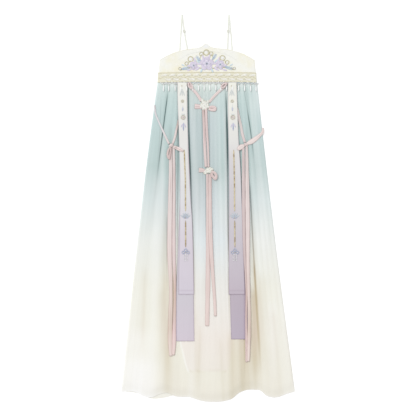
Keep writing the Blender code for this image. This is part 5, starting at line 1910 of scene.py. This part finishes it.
@dataclass
class Garland:
    """The raised embroidery on the bodice: blossoms, leaves, stems and small beads.

    The tables' rows are (name, across, drop, radius, turn) for a blossom, (name, across,
    drop, length, width, turn) for a leaf and (across, drop, length, turn) for a bud, with
    the turns in degrees. A stem is a run of (across, drop, width).
    """

    blossoms: Table = (
        ("blossom_middle", -4, -63, 26, 18),
        ("blossom_left", -50, -57, 16.5, 50),
        ("blossom_right", 42, -60, 18, -10),
    )
    leaves: Table = (
        ("leaf_left_low", -78, -47, 32, 13, 12),
        ("leaf_left_high", -33, -80, 27, 12, 132),
        ("leaf_right_high", 21.5, -87, 26, 12, 58),
        ("leaf_right_low", 71.5, -49, 32, 13, -14),
    )
    berries: Table = (
        (-74, -64), (-60, -79), (-23, -97), (-6, -102), (11, -98), (50, -83), (66, -68), (-97, -46),
        (91, -47),
    )
    rings: tuple[float, ...] = (1.3, 1.9, 1.4, 2.0, 1.4, 1.9, 1.4, 1.0, 1.0)
    lilac_buds: Table = (
        (-64, -42, 20, 196), (-36, -46, 24, 215), (28, -46, 24, 325), (57, -42, 20, 344),
        (-66, -56, 18, 160), (-46, -76, 20, 112), (-17, -86, 20, 102), (5, -88, 20, 80),
        (37, -79, 20, 70), (59, -57, 18, 20), (-30, -62, 20, 172), (24, -64, 20, 12),
    )
    sky_buds: Table = (
        (-22, -41, 20, 250), (14, -41, 20, 290), (-86, -58, 14, 150), (80, -59, 14, 30),
        (-34, -70, 18, 140), (28, -73, 18, 42),
    )
    stems: Table = (
        (
            (-96, -40, 2), (-78, -47, 2.2), (-50, -50, 2.4), (-4, -45, 2.4), (42, -50, 2.4),
            (71, -49, 2.2), (90, -42, 2),
        ),
        ((-50, -57, 1.8), (-60, -72, 1.6), (-68, -66, 1.4)),
        ((-28, -72, 1.8), (-26, -88, 1.6), (-21, -97, 1.4)),
        ((16, -78, 1.8), (15, -90, 1.6), (9, -98, 1.4)),
        ((46, -70, 1.8), (54, -76, 1.6), (62, -68, 1.4)),
    )

    def build(self, pile: Pile) -> None:
        """Makes the stems and beads as one piece, and each blossom and leaf as its own."""
        layers = [
            (cord_on(pile, *route(stops, 1.2), 1.1, 0.1, 8, 0.3), THREADS["gold"]) for stops in self.stems
        ]
        spots = plan(*np.array(self.berries).T)
        grown = np.column_stack([self.rings, self.rings, np.ones(len(self.rings))])
        layers.append((pile.drape(scatter(ring_of(4.6, 1.5), spots, 0.0, grown)), THREADS["gold"]))
        layers.append((pile.drape(scatter(blossom(3.0, 6, 0.9), spots, 0.0, grown)), PEARL))
        for buds, thread in ((self.lilac_buds, "lavender"), (self.sky_buds, "sky")):
            across, drops, lengths, turns = np.array(buds, float).T
            sizes = np.column_stack([lengths, lengths, np.full(len(buds), 1.4)])
            petals = scatter(lobe(1.0, 0.42, 1.0, 14, 0.6), plan(across, drops), np.radians(turns), sizes)
            layers.append((pile.drape(petals, 1, 0.1), THREADS[thread]))
        arch = np.linspace(-104.0, 98.0, 58)
        rise = 106.0 - 30.0 * np.abs((arch + 3) / 101) ** 2.4
        layers.append((pile.drape(scatter(ball(0.9, 6), plan(arch, -rise))), PEARL))
        place_piece(make_piece("garland_stems", layers))
        for name, across, drop, radius, turn in self.blossoms:
            self.blossom(name, plan(across, drop), radius, np.radians(turn), pile)
        for name, across, drop, length, width, turn in self.leaves:
            self.leaf(name, plan(across, drop), length, width, np.radians(turn), pile)

    def blossom(self, name: str, spot: Array, radius: float, turn: float, pile: Pile) -> None:
        """Five outer petals, five paler inner ones and a beaded heart."""
        ring, angles = circle(5, turn), np.arange(5) * 2 * np.pi / 5 + turn
        outer = scatter(lobe(radius, radius * 0.95, 2.2, 20, 0.25), ring * radius * 0.5, angles)
        inner = scatter(lobe(radius * 0.6, radius * 0.5, 1.6, 16, 0.3), ring * radius * 0.3, angles + 0.6)
        heart = scatter(ball(1.2), circle(6) * radius * 0.12)
        layers = [
            (pile.drape(moved(shape, spot), 2, lift), THREADS[thread])
            for shape, lift, thread in ((outer, 0.0, "lavender"), (inner, 1.3, "petal"), (heart, 2.3, "sky"))
        ]
        place_piece(make_piece(f"{name}_stitch", layers), [name])

    def leaf(self, name: str, spot: Array, length: float, width: float, turn: float, pile: Pile) -> None:
        """Two halves of slanting stitches on either side of a raised vein."""
        offsets = [[0.0, width * 0.2, 0.0], [0.0, -width * 0.2, 0.0]]
        halves = scatter(lobe(length, width * 0.62, 1.6, 20, 0.7), offsets, [0.09, -0.09])
        line = np.linspace([-length * 0.48, 0.0], [length * 0.48, 0.0], 24)
        vein = tube(line, np.full(24, 1.2), np.full(24, 0.9), 1.2, 8)
        layers = [
            (pile.drape(moved(shape, spot, turn), 2), THREADS[thread])
            for shape, thread in ((halves, "sky"), (vein, "lavender"))
        ]
        place_piece(make_piece(f"{name}_stitch", layers), [name])


# ---------------------------------------------------------------- the studio


@dataclass
class Studio:
    """A pale floor, soft light from above and the camera straight over the dress."""

    lens: float = 85.0
    sensor: float = 36.0
    view_width: float = 1.4352
    cloth_height: float = 0.006
    world: float = 0.78
    key: float = 1.3
    key_angle: float = 0.5
    key_tilt: float = 0.7
    floor_side: float = 4000.0

    def build(self) -> None:
        """Makes the floor, the light, the world and the camera."""
        self.floor()
        self.sun()
        world = bpy.data.worlds.new("studio")
        world.use_nodes = True
        sky = world.node_tree.nodes["Background"]
        sky.inputs["Color"].default_value = (1.0, 1.0, 1.0, 1.0)
        sky.inputs["Strength"].default_value = self.world
        bpy.context.scene.world = world
        bpy.context.scene.view_settings.view_transform = "Standard"
        eye = bpy.data.cameras.new("camera")
        eye.lens, eye.sensor_width = self.lens, self.sensor
        camera = bpy.data.objects.new("camera", eye)
        camera.location = (0.0, 0.0, self.view_width * self.lens / self.sensor + self.cloth_height)
        bpy.context.scene.collection.objects.link(camera)
        bpy.context.scene.camera = camera

    def floor(self) -> None:
        """A wide white floor, just below the dress."""
        run = np.linspace(-self.floor_side, self.floor_side, 5)
        x, y = np.meshgrid(run, -run)
        points = np.stack([x, y, np.full_like(x, -0.05)], axis=-1)
        make_piece("floor", [(grid(points, points[..., :2]), LightTable("studio_floor", 0.9))])

    def sun(self) -> None:
        """A broad, soft light from above the dress's left shoulder."""
        light = bpy.data.lights.new("key", "SUN")
        light.energy, light.angle = self.key, self.key_angle
        obj = bpy.data.objects.new("key", light)
        obj.rotation_euler = (0.0, -self.key_tilt, -0.9)
        bpy.context.scene.collection.objects.link(obj)


def main() -> None:
    """Builds the studio and the dress, from the floor up."""
    logging.basicConfig(level=logging.INFO, format="%(name)s: %(message)s")
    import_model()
    Studio().build()
    pile, skirt, ties = Pile(), Skirt(), Ties()
    skirt.build()
    skirt.lay(pile)
    Straps().build()
    Bodice().build(pile)
    Braid().build(pile)
    Fringe().build(pile)
    ties.build(ARMS, pile, 50)
    for tail in TAILS:
        tail.build(pile)
    ties.build(TIES | LOOPS, pile, 60)
    Knots().build(pile)
    Garland().build(pile)


if __name__ == "__main__":
    main()
